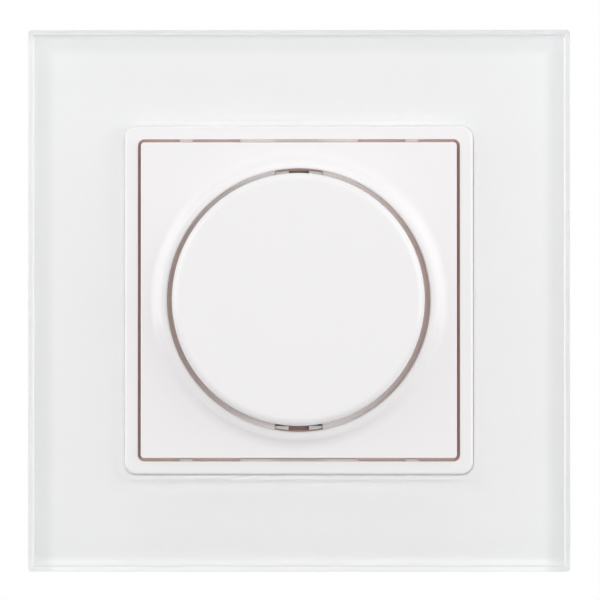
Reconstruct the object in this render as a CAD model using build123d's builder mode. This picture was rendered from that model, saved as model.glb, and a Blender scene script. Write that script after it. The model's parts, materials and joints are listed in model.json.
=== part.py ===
"""Rotary control panel for a wall box: glass frame, bezel ring, centre plate, push-and-turn knob, module.

The panel stands upright on the wall. +Z is up, +X is right for someone in front of it, and the room is
toward -Y. The origin is the centre of the panel on the wall plane. Every height below is measured from the
wall plane toward the room, so Plane.XZ.offset(height) is a plane at that height, and a negative height is
inside the wall.
"""

import os
from math import sqrt

from build123d import *

os.makedirs("parts", exist_ok=True)

# Glass frame
frame_side = 86.0
glass_thickness = 4.0
glass_bevel = 0.9
glass_corner_cut = 0.35
opening_side = 55.45
opening_corner = 2.0
opening_bevel = 0.68
tape_thickness = 0.4
tape_width = 8.6

# Carrier behind the glass
carrier_inset = 1.5
carrier_height = 5.2
carrier_wall = 1.5
carrier_corner = 1.5
carrier_ledge = 1.225
carrier_rib = 1.2
carrier_rib_offsets = (-24.0, -12.0, 12.0, 24.0)

# Steel support plate on the wall
support_side = 71.0
support_thickness = 1.2
support_corner = 5.0
support_opening_margin = 2.5
wall_screw_spacing = 60.0
wall_slot_radius = 2.0
wall_slot_length = 7.5
support_gap = 0.2

# Bezel ring in the glass opening
bezel_side = 55.2
bezel_corner = 1.9
bezel_opening = 51.0
bezel_inner_corner = 1.0
bezel_proud = 1.1
bezel_edge = 0.5
bezel_inner_edge = 0.12
bezel_skirt_gap = 0.2
bezel_flange_width = 1.0
bezel_flange_thickness = 1.0
bezel_flange_depth = 2.3
bezel_leg_width = 5.0
bezel_leg_offset = 10.0
bezel_leg_reach = 1.3
bezel_barb = 0.6
bezel_barb_gap = 0.15
leg_slot_gap = 0.5
rib_height = 0.35
rib_depth = 1.3
short_rib_width = 2.1
short_rib_offset = 17.9
long_rib_width = 18.7

# Centre plate with its collar
plate_side = 50.0
plate_corner = 0.55
plate_proud = 0.9
plate_thickness = 1.6
plate_rim = 3.0
plate_edge = 0.15
plate_skirt_inset = 0.8
plate_skirt_wall = 1.2
collar_foot_radius = 23.9
collar_height = 1.1
collar_edge = 0.4
collar_flat = 0.2
collar_crest_share = 0.36
knob_hole_radius = 20.8
well_wall = 1.2
well_gap = 0.3
well_ledge_depth = 2.5
well_ledge_thickness = 0.8
well_ledge_width = 2.0
window_width = 7.5

# Knob
knob_radius = 19.9
knob_proud = 6.2
knob_edge = 1.2
knob_wall = 1.6
knob_top = 1.8
knob_skirt_gap = 1.2
knob_hub_radius = 5.0
knob_hub_gap = 1.0
knob_rib = 1.0
knob_rib_depth = 3.0
knob_rib_count = 6
hub_slit = 0.8
hub_slit_depth = 2.6
clip_thickness = 0.6
clip_width = 1.2
clip_opening = 2.0
press_travel = 0.5

# Module front half and its snap arms
module_front_side = 49.6
module_front_corner = 0.8
module_front_height = 3.7
module_front_wall = 1.6
module_panel = 1.5
screw_inset = 4.5
screw_pillar_radius = 3.0
arm_width = 2.1
arm_spacing = 3.2
arm_inner_face = 19.9
arm_outer_radius = 20.6
arm_height = 5.2
arm_web_height = 3.0
arm_barb = 0.7
arm_barb_start = 3.5
arm_barb_height = 0.9
barb_gap = 0.1

# Module rear half in the wall box
housing_side = 44.0
housing_corner_cut = 5.0
housing_depth = 19.0
housing_wall = 1.6
housing_edge = 1.0
boss_radius = 2.6
board_post_radius = 2.2
board_post_inset = 3.5
board_post_z = 6.0
vent_count = 5
vent_pitch = 4.0
vent_width = 1.4
vent_length = 7.0

# Screws
housing_screw_radius = 1.1
housing_screw_length = 13.0
housing_screw_head_radius = 2.1
housing_screw_head = 1.3
housing_screw_sink = 0.1
board_screw_radius = 1.0
board_screw_length = 6.6
board_screw_head_radius = 1.8
board_screw_head = 1.2
screw_hole_gap = 0.2
pilot_gap = 0.02
recess_width = 0.6
recess_depth = 0.6
recess_share = 0.6

# Rotary encoder
bracket_sheet = 0.4
bracket_web = 8.0
bracket_leg = 5.0
bracket_lug = 2.0
encoder_side = 12.0
bushing_flange = 1.0
bushing_radius = 3.5
bushing_height = 6.0
bushing_chamfer = 0.35
bushing_hole_gap = 0.1
shaft_radius = 3.0
shaft_flat = 1.5
shaft_height = 12.6
shaft_gap = 0.05
shaft_chamfer = 0.3
tang_radius = 2.0
tang_flat = 1.5
tang_head_radius = 2.3
tang_head = 0.4
knob_bore_gap = 0.03
encoder_base_height = 5.4
encoder_base_floor = 1.0
encoder_base_wall = 0.8
rotor_radius = 4.7
rotor_thickness = 1.6
rotor_hub_radius = 3.2
rotor_hub_height = 0.95
rotor_gap = 0.05
rotor_seat_gap = 0.1
rotor_seat_inner = 2.9
rotor_seat_outer = 3.6
detent_count = 20
detent_width = 0.6
detent_depth = 0.3
detent_sheet = 0.2
detent_outer = 4.9
detent_inner = 3.4
nose_width = 0.5
nose_tip = 0.16
nose_tip_depth = 0.14
nose_inner = 3.7
nose_length = 0.8
plunger_radius = 2.3
plunger_height = 0.55
dome_radius = 2.2
dome_crown_radius = 0.7
dome_sheet = 0.15
washer_radius = 5.5
washer_thickness = 0.4
nut_across_flats = 10.0
nut_thickness = 2.0
thread_gap = 0.02
pin_width = 0.8
pin_sheet = 0.4
pin_reach = 1.0
pin_tail = 1.2
pin_spacing = 2.5
pin_lift = 0.5

# Circuit board and what is on it
board_thickness = 1.6
board_gap = 0.4
pole_count = 4
pole_pitch = 5.0
block_depth = 8.5
block_edge_gap = 0.1
block_end_gap = 0.4
cage_width = 4.0
cage_depth = 4.2
cage_height = 5.0
cage_floor = 0.45
cage_gap = 0.05
wire_passage = 3.0
wire_entry = 3.6
cage_pin = 1.0
cage_pin_tail = 0.6
terminal_screw_radius = 1.25
terminal_screw_reach = 2.2
terminal_head_radius = 1.8
terminal_head = 1.4
terminal_head_setback = 1.15
driver_hole_radius = 2.0
radio_width = 16.0
radio_thickness = 0.8
radio_edge_gap = 0.5
radio_pin_gap = 1.1
shield_width = 11.0
shield_margin = 1.2
shield_height = 2.0
converter_side = 10.0
converter_height = 8.0
converter_chamfer = 0.5
converter_gap = 1.2
converter_z = -4.0
capacitor_radius = 4.0
capacitor_end_gap = 1.4
capacitor_chamfer = 0.4
capacitor_edge_gap = 3.0
capacitor_z = -4.0

# Heights of the stack toward the room
glass_back = carrier_height + tape_thickness
glass_front = glass_back + glass_thickness
bezel_front = glass_front + bezel_proud
plate_front = bezel_front + plate_proud
collar_crest = plate_front + collar_height
knob_front = plate_front + knob_proud
panel_front = support_thickness + module_front_height
panel_back = panel_front - module_panel
well_ledge_top = collar_crest - well_ledge_depth
knob_skirt_end = well_ledge_top + knob_skirt_gap
bezel_flange_top = bezel_front - bezel_flange_depth
skirt_end = support_thickness + support_gap

# Heights of the encoder and the boards
bushing_base = panel_back - bracket_sheet
base_top = bushing_base - bushing_flange
board_front = base_top - encoder_base_height
board_back = board_front - board_thickness
base_floor = board_front + encoder_base_floor
rotor_hub_top = base_top - rotor_gap
rotor_top = rotor_hub_top - rotor_hub_height
rotor_bottom = rotor_top - rotor_thickness
tang_head_top = rotor_bottom - rotor_gap
plunger_top = tang_head_top - tang_head
dome_top = plunger_top - plunger_height
bushing_top = bushing_base + bushing_height
shaft_top = bushing_base + shaft_height
shaft_shoulder = rotor_hub_top + press_travel + shaft_gap
hub_end = bushing_top + press_travel + knob_hub_gap
knob_underside = knob_front - knob_top
housing_back = -housing_depth
housing_floor = housing_back + housing_wall
screw_seat = panel_front - housing_screw_sink - housing_screw_head

# Derived sides
carrier_side = frame_side - 2 * carrier_inset
carrier_opening = opening_side - 2 * carrier_ledge
collar_wall_side = carrier_opening + 2 * carrier_wall
bezel_skirt_side = carrier_opening - 2 * bezel_skirt_gap
tape_middle_side = (carrier_side + opening_side) / 2
plate_skirt_side = plate_side - 2 * plate_skirt_inset
plate_inner_side = plate_skirt_side - 2 * plate_skirt_wall
housing_inner_side = housing_side - 2 * housing_wall
screw_offset = housing_side / 2 - screw_inset
support_opening = 2 * (screw_offset - support_opening_margin)
board_side = housing_inner_side - 2 * board_gap
board_post_x = board_side / 2 - board_post_inset
bracket_half = encoder_side / 2 + bracket_sheet
block_height = board_back - housing_floor - block_end_gap
capacitor_height = board_back - housing_floor - capacitor_end_gap
capacitor_x = capacitor_edge_gap + capacitor_radius - board_side / 2
converter_x = bracket_half + converter_gap + converter_side / 2
radio_depth = board_side / 2 - radio_edge_gap - encoder_side / 2 - pin_reach - radio_pin_gap
shield_depth = radio_depth - 2 * shield_margin
well_radius = knob_hole_radius + well_wall
board_corner_cut = board_side - 2 * screw_offset + (boss_radius + board_gap) * sqrt(2)
block_centre = -board_side / 2 + block_edge_gap + block_depth / 2
pole_columns = [(i - (pole_count - 1) / 2) * pole_pitch for i in range(pole_count)]
pole_points = [(column, block_centre) for column in pole_columns]
cage_bottom = board_back - block_height + cage_height + terminal_head + terminal_head_setback
cage_top = cage_bottom - cage_height
wire_height = cage_bottom - cage_floor - wire_passage / 2
screw_points = [(x * screw_offset, z * screw_offset) for x in (-1, 1) for z in (-1, 1)]
board_screw_points = [(-board_post_x, board_post_z), (board_post_x, board_post_z)]
pin_points = [(0, -1), (-pin_spacing, -1), (pin_spacing, -1), (-pin_spacing, 1), (pin_spacing, 1)]

# A half-plane for turned profiles: across is the distance from the knob's axis, up is the height
turning_plane = Plane(origin=(0, 0, 0), x_dir=(1, 0, 0), z_dir=(0, 0, -1))


# Glass frame: polished bevels round the front edge and the opening, corners just taken off
with BuildPart() as glass_frame:
    with BuildSketch(Plane.XZ.offset(glass_back)):
        Rectangle(frame_side, frame_side)
        RectangleRounded(opening_side, opening_side, opening_corner, mode=Mode.SUBTRACT)
    extrude(amount=glass_thickness)
    chamfer(glass_frame.faces().sort_by(Axis.Y)[0].outer_wire().edges(), glass_bevel)
    chamfer(glass_frame.faces().sort_by(Axis.Y)[0].inner_wires()[0].edges(), opening_bevel)
    with BuildSketch(Plane.XZ.offset(glass_back)) as cut_square:
        Rectangle(frame_side, frame_side)
        chamfer(cut_square.vertices(), glass_corner_cut)
    extrude(amount=glass_thickness, mode=Mode.INTERSECT)
glass_frame.part.label = "glass_frame"
export_step(glass_frame.part, "parts/glass_frame.step")

# Bonding tape between the glass and its carrier
with BuildPart() as bonding_tape:
    with BuildSketch(Plane.XZ.offset(carrier_height)):
        Rectangle(tape_middle_side + tape_width, tape_middle_side + tape_width)
        Rectangle(tape_middle_side - tape_width, tape_middle_side - tape_width, mode=Mode.SUBTRACT)
    extrude(amount=tape_thickness)
bonding_tape.part.label = "bonding_tape"
export_step(bonding_tape.part, "parts/bonding_tape.step")

# Frame carrier: a tray open to the wall, with a collar round its opening and ribs from the collar to the rim
with BuildPart() as frame_carrier:
    with BuildSketch(Plane.XZ):
        RectangleRounded(carrier_side, carrier_side, carrier_corner)
        Rectangle(carrier_opening, carrier_opening, mode=Mode.SUBTRACT)
    extrude(amount=carrier_height)
    with BuildSketch(Plane.XZ):
        Rectangle(carrier_side - 2 * carrier_wall, carrier_side - 2 * carrier_wall)
        Rectangle(collar_wall_side, collar_wall_side, mode=Mode.SUBTRACT)
    extrude(amount=carrier_height - carrier_wall, mode=Mode.SUBTRACT)
    with BuildSketch(Plane.XZ):
        Rectangle(collar_wall_side, collar_wall_side)
    extrude(amount=skirt_end, mode=Mode.SUBTRACT)
    rib_inner = collar_wall_side / 2 - carrier_wall / 2
    rib_outer = carrier_side / 2 - carrier_wall / 2
    with BuildSketch(Plane.XZ.offset(skirt_end)):
        with PolarLocations((rib_inner + rib_outer) / 2, 4):
            with Locations([(0, offset_along) for offset_along in carrier_rib_offsets]):
                Rectangle(rib_outer - rib_inner, carrier_rib)
    extrude(amount=carrier_height - carrier_wall / 2 - skirt_end)
frame_carrier.part.label = "frame_carrier"
export_step(frame_carrier.part, "parts/frame_carrier.step")

# Support plate: slots for the wall box screws and the bezel's legs, clearance holes for the module screws
leg_outer = bezel_skirt_side / 2 + bezel_barb
leg_inner = bezel_opening / 2
with BuildPart() as support_plate:
    with BuildSketch(Plane.XZ):
        RectangleRounded(support_side, support_side, support_corner)
        RectangleRounded(support_opening, support_opening, wall_slot_radius, mode=Mode.SUBTRACT)
        with PolarLocations(wall_screw_spacing / 2, 4):
            SlotOverall(wall_slot_length, 2 * wall_slot_radius, mode=Mode.SUBTRACT)
        with Locations(screw_points):
            Circle(housing_screw_radius + screw_hole_gap, mode=Mode.SUBTRACT)
        with GridLocations(leg_outer + leg_inner, 2 * bezel_leg_offset, 2, 2):
            Rectangle(
                leg_outer - leg_inner + leg_slot_gap,
                bezel_leg_width + 2 * leg_slot_gap,
                mode=Mode.SUBTRACT,
            )
    extrude(amount=support_thickness)
support_plate.part.label = "support_plate"
export_step(support_plate.part, "parts/support_plate.step")

# Bezel ring: lip on the carrier's ledge, skirt through its opening, barbed legs through the support plate
with BuildPart() as bezel_ring:
    with BuildSketch(Plane.XZ.offset(carrier_height)):
        RectangleRounded(bezel_side, bezel_side, bezel_corner)
        RectangleRounded(bezel_opening, bezel_opening, bezel_inner_corner, mode=Mode.SUBTRACT)
    extrude(amount=bezel_front - carrier_height)
    front_face = bezel_ring.faces().sort_by(Axis.Y)[0]
    fillet(front_face.outer_wire().edges(), bezel_edge)
    chamfer(bezel_ring.faces().sort_by(Axis.Y)[0].inner_wires()[0].edges(), bezel_inner_edge)
    with BuildSketch(Plane.XZ.offset(skirt_end)):
        RectangleRounded(bezel_skirt_side, bezel_skirt_side, bezel_inner_corner)
        RectangleRounded(bezel_opening, bezel_opening, bezel_inner_corner, mode=Mode.SUBTRACT)
    extrude(amount=carrier_height - skirt_end)
    flange_opening = bezel_opening - 2 * bezel_flange_width
    with BuildSketch(Plane.XZ.offset(bezel_flange_top)):
        RectangleRounded(bezel_opening + bezel_edge, bezel_opening + bezel_edge, bezel_inner_corner)
        RectangleRounded(flange_opening, flange_opening, bezel_inner_corner, mode=Mode.SUBTRACT)
    extrude(amount=-bezel_flange_thickness)
    rib_middle = bezel_opening / 2 - rib_height / 2
    with BuildSketch(Plane.XZ.offset(bezel_flange_top)):
        with Locations((0, -rib_middle), (0, rib_middle)):
            Rectangle(long_rib_width, rib_height)
        with GridLocations(2 * short_rib_offset, 2 * rib_middle, 2, 2):
            Rectangle(short_rib_width, rib_height)
    extrude(amount=bezel_flange_depth - rib_depth)
    skirt_half = bezel_skirt_side / 2
    for level in (-bezel_leg_offset, bezel_leg_offset):
        with BuildSketch(Plane.XY.offset(level)):
            with BuildLine():
                Polyline(
                    (leg_inner, -carrier_height),
                    (skirt_half, -carrier_height),
                    (skirt_half, bezel_barb_gap),
                    (leg_outer, bezel_barb_gap),
                    (leg_outer, bezel_leg_reach / 2),
                    (skirt_half, bezel_leg_reach),
                    (leg_inner, bezel_leg_reach),
                    close=True,
                )
            make_face()
            mirror(about=Plane.YZ)
        extrude(amount=bezel_leg_width / 2, both=True)
bezel_ring.part.label = "bezel_ring"
export_step(bezel_ring.part, "parts/bezel_ring.step")

# Centre plate: square top with a stepped skirt, an S-shaped collar, and a well whose ledge has two windows
with BuildPart() as centre_plate:
    with BuildSketch(Plane.XZ.offset(plate_front - plate_rim)):
        RectangleRounded(plate_side, plate_side, plate_corner)
    extrude(amount=plate_rim)
    chamfer(centre_plate.faces().sort_by(Axis.Y)[0].outer_wire().edges(), plate_edge)
    with BuildSketch(Plane.XZ.offset(panel_front)):
        Rectangle(plate_skirt_side, plate_skirt_side)
    extrude(amount=plate_front - plate_rim - panel_front)
    with BuildSketch(Plane.XZ.offset(panel_front)):
        Rectangle(plate_inner_side, plate_inner_side)
    extrude(amount=plate_front - plate_thickness - panel_front, mode=Mode.SUBTRACT)
    with BuildSketch(Plane.XZ.offset(panel_front + well_gap)):
        Circle(well_radius)
    extrude(amount=plate_front - plate_thickness / 2 - panel_front - well_gap)
    with BuildSketch(turning_plane):
        with BuildLine():
            crest_start = (knob_hole_radius + collar_edge + collar_flat, collar_crest)
            foot = (collar_foot_radius, plate_front)
            flank_radius = crest_start[0] + collar_crest_share * (foot[0] - crest_start[0])
            flank_middle = (flank_radius, collar_crest - collar_crest_share * collar_height)
            collar_root = plate_front - plate_thickness / 2
            Line((0, collar_root), (0, collar_crest))
            Line((0, collar_crest), crest_start)
            TangentArc(crest_start, flank_middle, tangent=(1, 0))
            TangentArc(foot, flank_middle, tangent=(-1, 0))
            Line(foot, (collar_foot_radius, collar_root))
            Line((collar_foot_radius, collar_root), (0, collar_root))
        make_face()
    revolve(axis=Axis.Y)
    with BuildSketch(turning_plane):
        with BuildLine():
            ledge_inner = knob_hole_radius - well_ledge_width
            ledge_bottom = well_ledge_top - well_ledge_thickness
            Polyline(
                (0, collar_crest + collar_height),
                (knob_hole_radius + collar_edge, collar_crest + collar_height),
                (knob_hole_radius + collar_edge, collar_crest),
                (knob_hole_radius, collar_crest - collar_edge),
                (knob_hole_radius, well_ledge_top),
                (ledge_inner, well_ledge_top),
                (ledge_inner, ledge_bottom),
                (knob_hole_radius, ledge_bottom),
                (knob_hole_radius, panel_front),
                (0, panel_front),
                (0, collar_crest + collar_height),
            )
        make_face()
    revolve(axis=Axis.Y, mode=Mode.SUBTRACT)
    with BuildSketch(Plane.XZ.offset(ledge_bottom)):
        Rectangle(window_width, 2 * well_radius)
        Circle(knob_hole_radius, mode=Mode.INTERSECT)
    extrude(amount=well_ledge_thickness, mode=Mode.SUBTRACT)
    barb_start = panel_front + arm_barb_start
    with BuildSketch(Plane.XZ.offset(barb_start - barb_gap)):
        with Locations((0, -well_radius), (0, well_radius)):
            Rectangle(window_width, 2 * well_wall + arm_barb)
    extrude(amount=ledge_bottom - barb_start + barb_gap, mode=Mode.SUBTRACT)
centre_plate.part.label = "centre_plate"
export_step(centre_plate.part, "parts/centre_plate.step")

# Knob: a turned cap with a split hub, a flat-sided bore for the shaft and ribs under its top
with BuildPart() as knob:
    with BuildSketch(turning_plane):
        with BuildLine():
            Polyline(
                (0, knob_front),
                (knob_radius - knob_edge, knob_front),
            )
            RadiusArc(
                (knob_radius - knob_edge, knob_front),
                (knob_radius, knob_front - knob_edge),
                knob_edge,
            )
            Polyline(
                (knob_radius, knob_front - knob_edge),
                (knob_radius, knob_skirt_end),
                (knob_radius - knob_wall, knob_skirt_end),
                (knob_radius - knob_wall, knob_underside),
                (knob_hub_radius, knob_underside),
                (knob_hub_radius, hub_end),
                (0, hub_end),
                (0, knob_front),
            )
        make_face()
    revolve(axis=Axis.Y)
    rib_span = knob_radius - knob_wall / 2 - knob_hub_radius
    with BuildSketch(Plane.XZ.offset(knob_underside - knob_rib_depth)):
        with PolarLocations(knob_hub_radius + rib_span / 2, knob_rib_count):
            Rectangle(rib_span + knob_wall / 2, knob_rib)
    extrude(amount=knob_rib_depth + knob_top / 2)
    bore_radius = shaft_radius + knob_bore_gap
    bore_flat = shaft_flat + knob_bore_gap
    with BuildSketch(Plane.XZ.offset(hub_end)):
        Circle(bore_radius)
        with Locations((0, bore_flat - bore_radius)):
            Rectangle(2 * bore_radius, 2 * bore_radius, mode=Mode.INTERSECT)
    extrude(amount=shaft_top + knob_bore_gap - hub_end, mode=Mode.SUBTRACT)
    with BuildSketch(Plane.XZ.offset(hub_end)):
        Rectangle(2 * knob_hub_radius + knob_rib, hub_slit)
    extrude(amount=hub_slit_depth, mode=Mode.SUBTRACT)
knob.part.label = "knob"
export_step(knob.part, "parts/knob.step")

# Spring clip round the split end of the knob's hub
with BuildPart() as knob_clip:
    with BuildSketch(Plane.XZ.offset(hub_end + clip_width / 2)):
        Circle(knob_hub_radius + knob_bore_gap + clip_thickness)
        Circle(knob_hub_radius + knob_bore_gap, mode=Mode.SUBTRACT)
        with Locations((0, knob_hub_radius)):
            Rectangle(clip_opening, 4 * clip_thickness, mode=Mode.SUBTRACT)
    extrude(amount=clip_width)
knob_clip.part.label = "knob_clip"
export_step(knob_clip.part, "parts/knob_clip.step")

# Encoder shaft: flat for the knob, a tang with two flats through the rotor, and a head under the rotor
with BuildPart() as encoder_shaft:
    with BuildSketch(Plane.XZ.offset(shaft_shoulder)):
        Circle(shaft_radius)
    extrude(amount=shaft_top - shaft_shoulder)
    chamfer(encoder_shaft.faces().sort_by(Axis.Y)[0].edges(), shaft_chamfer)
    with BuildSketch(Plane.XZ.offset(bushing_top + press_travel)):
        with Locations((0, shaft_flat + shaft_radius)):
            Rectangle(4 * shaft_radius, 2 * shaft_radius)
    extrude(amount=shaft_top, mode=Mode.SUBTRACT)
    with BuildSketch(Plane.XZ.offset(tang_head_top)):
        Circle(tang_radius)
        Rectangle(2 * tang_flat, 2 * tang_radius, mode=Mode.INTERSECT)
    extrude(amount=shaft_shoulder - tang_head_top)
    with BuildSketch(Plane.XZ.offset(plunger_top)):
        Circle(tang_head_radius)
    extrude(amount=tang_head)
encoder_shaft.part.label = "encoder_shaft"
export_step(encoder_shaft.part, "parts/encoder_shaft.step")

# Encoder bushing: square flange and round barrel
with BuildPart() as encoder_bushing:
    with BuildSketch(Plane.XZ.offset(base_top)):
        Rectangle(encoder_side, encoder_side)
    extrude(amount=bushing_flange)
    with BuildSketch(Plane.XZ.offset(bushing_base)):
        Circle(bushing_radius)
    extrude(amount=bushing_height)
    chamfer(encoder_bushing.faces().sort_by(Axis.Y)[0].edges(), bushing_chamfer)
    with BuildSketch(Plane.XZ.offset(base_top)):
        Circle(shaft_radius + shaft_gap)
    extrude(amount=bushing_flange + bushing_height, mode=Mode.SUBTRACT)
encoder_bushing.part.label = "encoder_bushing"
export_step(encoder_bushing.part, "parts/encoder_bushing.step")

# Encoder bracket: a bent strip over the flange, with legs down both sides and lugs through the board
with BuildPart() as encoder_bracket:
    leg_middle = encoder_side / 2 + bracket_sheet / 2
    with BuildSketch(Plane.XZ.offset(bushing_base)):
        Rectangle(2 * bracket_half, bracket_web)
        Circle(bushing_radius + shaft_gap, mode=Mode.SUBTRACT)
    extrude(amount=bracket_sheet)
    with BuildSketch(Plane.XZ.offset(board_front)):
        with Locations((-leg_middle, 0), (leg_middle, 0)):
            Rectangle(bracket_sheet, bracket_leg)
    extrude(amount=bushing_base - board_front)
    with BuildSketch(Plane.XZ.offset(board_back - pin_tail)):
        with Locations((-leg_middle, 0), (leg_middle, 0)):
            Rectangle(bracket_sheet, bracket_lug)
    extrude(amount=board_front - board_back + pin_tail)
encoder_bracket.part.label = "encoder_bracket"
export_step(encoder_bracket.part, "parts/encoder_bracket.step")

# Encoder base: a square cup with a round seat for the rotor
cup_side = encoder_side - 2 * encoder_base_wall
with BuildPart() as encoder_base:
    with BuildSketch(Plane.XZ.offset(board_front)):
        Rectangle(encoder_side, encoder_side)
    extrude(amount=encoder_base_height)
    with BuildSketch(Plane.XZ.offset(base_floor)):
        Rectangle(cup_side, cup_side)
    extrude(amount=encoder_base_height - encoder_base_floor, mode=Mode.SUBTRACT)
    with BuildSketch(Plane.XZ.offset(base_floor)):
        Circle(rotor_seat_outer)
        Circle(rotor_seat_inner, mode=Mode.SUBTRACT)
    extrude(amount=rotor_bottom - rotor_seat_gap - base_floor)
encoder_base.part.label = "encoder_base"
export_step(encoder_base.part, "parts/encoder_base.step")

# Encoder rotor: a disc with radial detent grooves and a bore with two flats for the shaft's tang
with BuildPart() as encoder_rotor:
    with BuildSketch(Plane.XZ.offset(rotor_bottom)):
        Circle(rotor_radius)
    extrude(amount=rotor_thickness)
    with BuildSketch(Plane.XZ.offset(rotor_top)):
        Circle(rotor_hub_radius)
    extrude(amount=rotor_hub_height)
    with BuildSketch(Plane.XZ.offset(rotor_bottom)):
        Circle(tang_radius + shaft_gap)
        Rectangle(2 * (tang_flat + shaft_gap), 3 * tang_radius, mode=Mode.INTERSECT)
    extrude(amount=rotor_thickness + rotor_hub_height, mode=Mode.SUBTRACT)
    with BuildSketch(Plane.YZ.offset(rotor_hub_radius)):
        with BuildLine():
            Polyline(
                (-rotor_top, -detent_width / 2),
                (-rotor_top, detent_width / 2),
                (detent_depth - rotor_top, 0),
                close=True,
            )
        make_face()
    groove = extrude(amount=rotor_radius, mode=Mode.PRIVATE)
    for step in range(detent_count):
        add(groove.rotate(Axis.Y, step * 360 / detent_count), mode=Mode.SUBTRACT)
encoder_rotor.part.label = "encoder_rotor"
export_step(encoder_rotor.part, "parts/encoder_rotor.step")

# Detent spring: a flat ring under the flange with two noses that ride in the rotor's grooves
with BuildPart() as detent_spring:
    with BuildSketch(Plane.XZ.offset(base_top - detent_sheet)):
        Circle(detent_outer)
        Circle(detent_inner, mode=Mode.SUBTRACT)
    extrude(amount=detent_sheet)
    for start in (nose_inner, -nose_inner - nose_length):
        with BuildSketch(Plane.YZ.offset(start)):
            with BuildLine():
                Polyline(
                    (detent_sheet / 2 - base_top, -nose_width / 2),
                    (detent_sheet / 2 - base_top, nose_width / 2),
                    (nose_tip_depth - rotor_top, nose_tip / 2),
                    (nose_tip_depth - rotor_top, -nose_tip / 2),
                    close=True,
                )
            make_face()
        extrude(amount=nose_length)
detent_spring.part.label = "detent_spring"
export_step(detent_spring.part, "parts/detent_spring.step")

# Push switch: plunger under the shaft's head, and the snap dome it presses
with BuildPart() as switch_plunger:
    with BuildSketch(Plane.XZ.offset(dome_top)):
        Circle(plunger_radius)
    extrude(amount=plunger_height)
switch_plunger.part.label = "switch_plunger"
export_step(switch_plunger.part, "parts/switch_plunger.step")

with BuildPart() as switch_dome:
    with BuildSketch(turning_plane):
        with BuildLine():
            Polyline(
                (0, dome_top),
                (dome_crown_radius, dome_top),
                (dome_radius, base_floor + dome_sheet),
                (dome_radius, base_floor),
                (dome_crown_radius, dome_top - dome_sheet),
                (0, dome_top - dome_sheet),
                close=True,
            )
        make_face()
    revolve(axis=Axis.Y)
switch_dome.part.label = "switch_dome"
export_step(switch_dome.part, "parts/switch_dome.step")

# Encoder pins: flat strips out of the base and down through the board
with BuildPart() as encoder_pins:
    for column, side in pin_points:
        pin_middle = side * (encoder_side / 2 + pin_reach / 2)
        pin_tip = side * (encoder_side / 2 + pin_reach - pin_sheet / 2)
        with BuildSketch(Plane.XZ.offset(board_front + pin_lift)):
            with Locations((column, pin_middle)):
                Rectangle(pin_width, pin_reach)
        extrude(amount=pin_sheet)
        with BuildSketch(Plane.XZ.offset(board_back - pin_tail)):
            with Locations((column, pin_tip)):
                Rectangle(pin_width, pin_sheet)
        extrude(amount=board_thickness + pin_tail + pin_lift + pin_sheet)
encoder_pins.part.label = "encoder_pins"
export_step(encoder_pins.part, "parts/encoder_pins.step")

# Washer and hexagon nut that hold the encoder in the module's front wall
with BuildPart() as encoder_washer:
    with BuildSketch(Plane.XZ.offset(panel_front)):
        Circle(washer_radius)
        Circle(bushing_radius + shaft_gap, mode=Mode.SUBTRACT)
    extrude(amount=washer_thickness)
encoder_washer.part.label = "encoder_washer"
export_step(encoder_washer.part, "parts/encoder_washer.step")

with BuildPart() as encoder_nut:
    with BuildSketch(Plane.XZ.offset(panel_front + washer_thickness)):
        RegularPolygon(nut_across_flats / 2, 6, major_radius=False)
        Circle(bushing_radius + thread_gap, mode=Mode.SUBTRACT)
    extrude(amount=nut_thickness)
encoder_nut.part.label = "encoder_nut"
export_step(encoder_nut.part, "parts/encoder_nut.step")

# Module front half: a shallow tray on the support plate, with sunk screw holes and two pairs of snap arms
with BuildPart() as module_front:
    with BuildSketch(Plane.XZ.offset(support_thickness)):
        RectangleRounded(module_front_side, module_front_side, module_front_corner)
    extrude(amount=module_front_height)
    tray_side = module_front_side - 2 * module_front_wall
    with BuildSketch(Plane.XZ.offset(support_thickness)):
        Rectangle(tray_side, tray_side)
        with Locations(screw_points):
            Circle(screw_pillar_radius, mode=Mode.SUBTRACT)
    extrude(amount=module_front_height - module_panel, mode=Mode.SUBTRACT)
    with BuildSketch(Plane.XZ.offset(support_thickness)):
        Circle(bushing_radius + bushing_hole_gap)
        with Locations(screw_points):
            Circle(housing_screw_radius + screw_hole_gap)
    extrude(amount=module_front_height, mode=Mode.SUBTRACT)
    with BuildSketch(Plane.XZ.offset(screw_seat)):
        with Locations(screw_points):
            Circle(housing_screw_head_radius + screw_hole_gap)
    extrude(amount=panel_front - screw_seat, mode=Mode.SUBTRACT)
    arm_pitch = arm_spacing + arm_width
    arm_span = arm_outer_radius + arm_barb - arm_inner_face
    arm_centre = arm_inner_face + arm_span / 2
    with BuildSketch(Plane.XZ.offset(panel_front - module_panel / 2)):
        with GridLocations(arm_pitch, 2 * arm_centre, 2, 2):
            Rectangle(arm_width, arm_span)
        Circle(arm_outer_radius, mode=Mode.INTERSECT)
    extrude(amount=arm_height + module_panel / 2)
    with BuildSketch(Plane.XZ.offset(panel_front - module_panel / 2)):
        with Locations((0, -arm_centre), (0, arm_centre)):
            Rectangle(arm_pitch, arm_span)
        Circle(arm_outer_radius, mode=Mode.INTERSECT)
    extrude(amount=arm_web_height + module_panel / 2)
    with BuildSketch(Plane.XZ.offset(panel_front + arm_barb_start)):
        with GridLocations(arm_pitch, 2 * arm_centre, 2, 2):
            Rectangle(arm_width, arm_span)
        Circle(arm_outer_radius + arm_barb, mode=Mode.INTERSECT)
    extrude(amount=arm_barb_height)
module_front.part.label = "module_front"
export_step(module_front.part, "parts/module_front.step")

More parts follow.
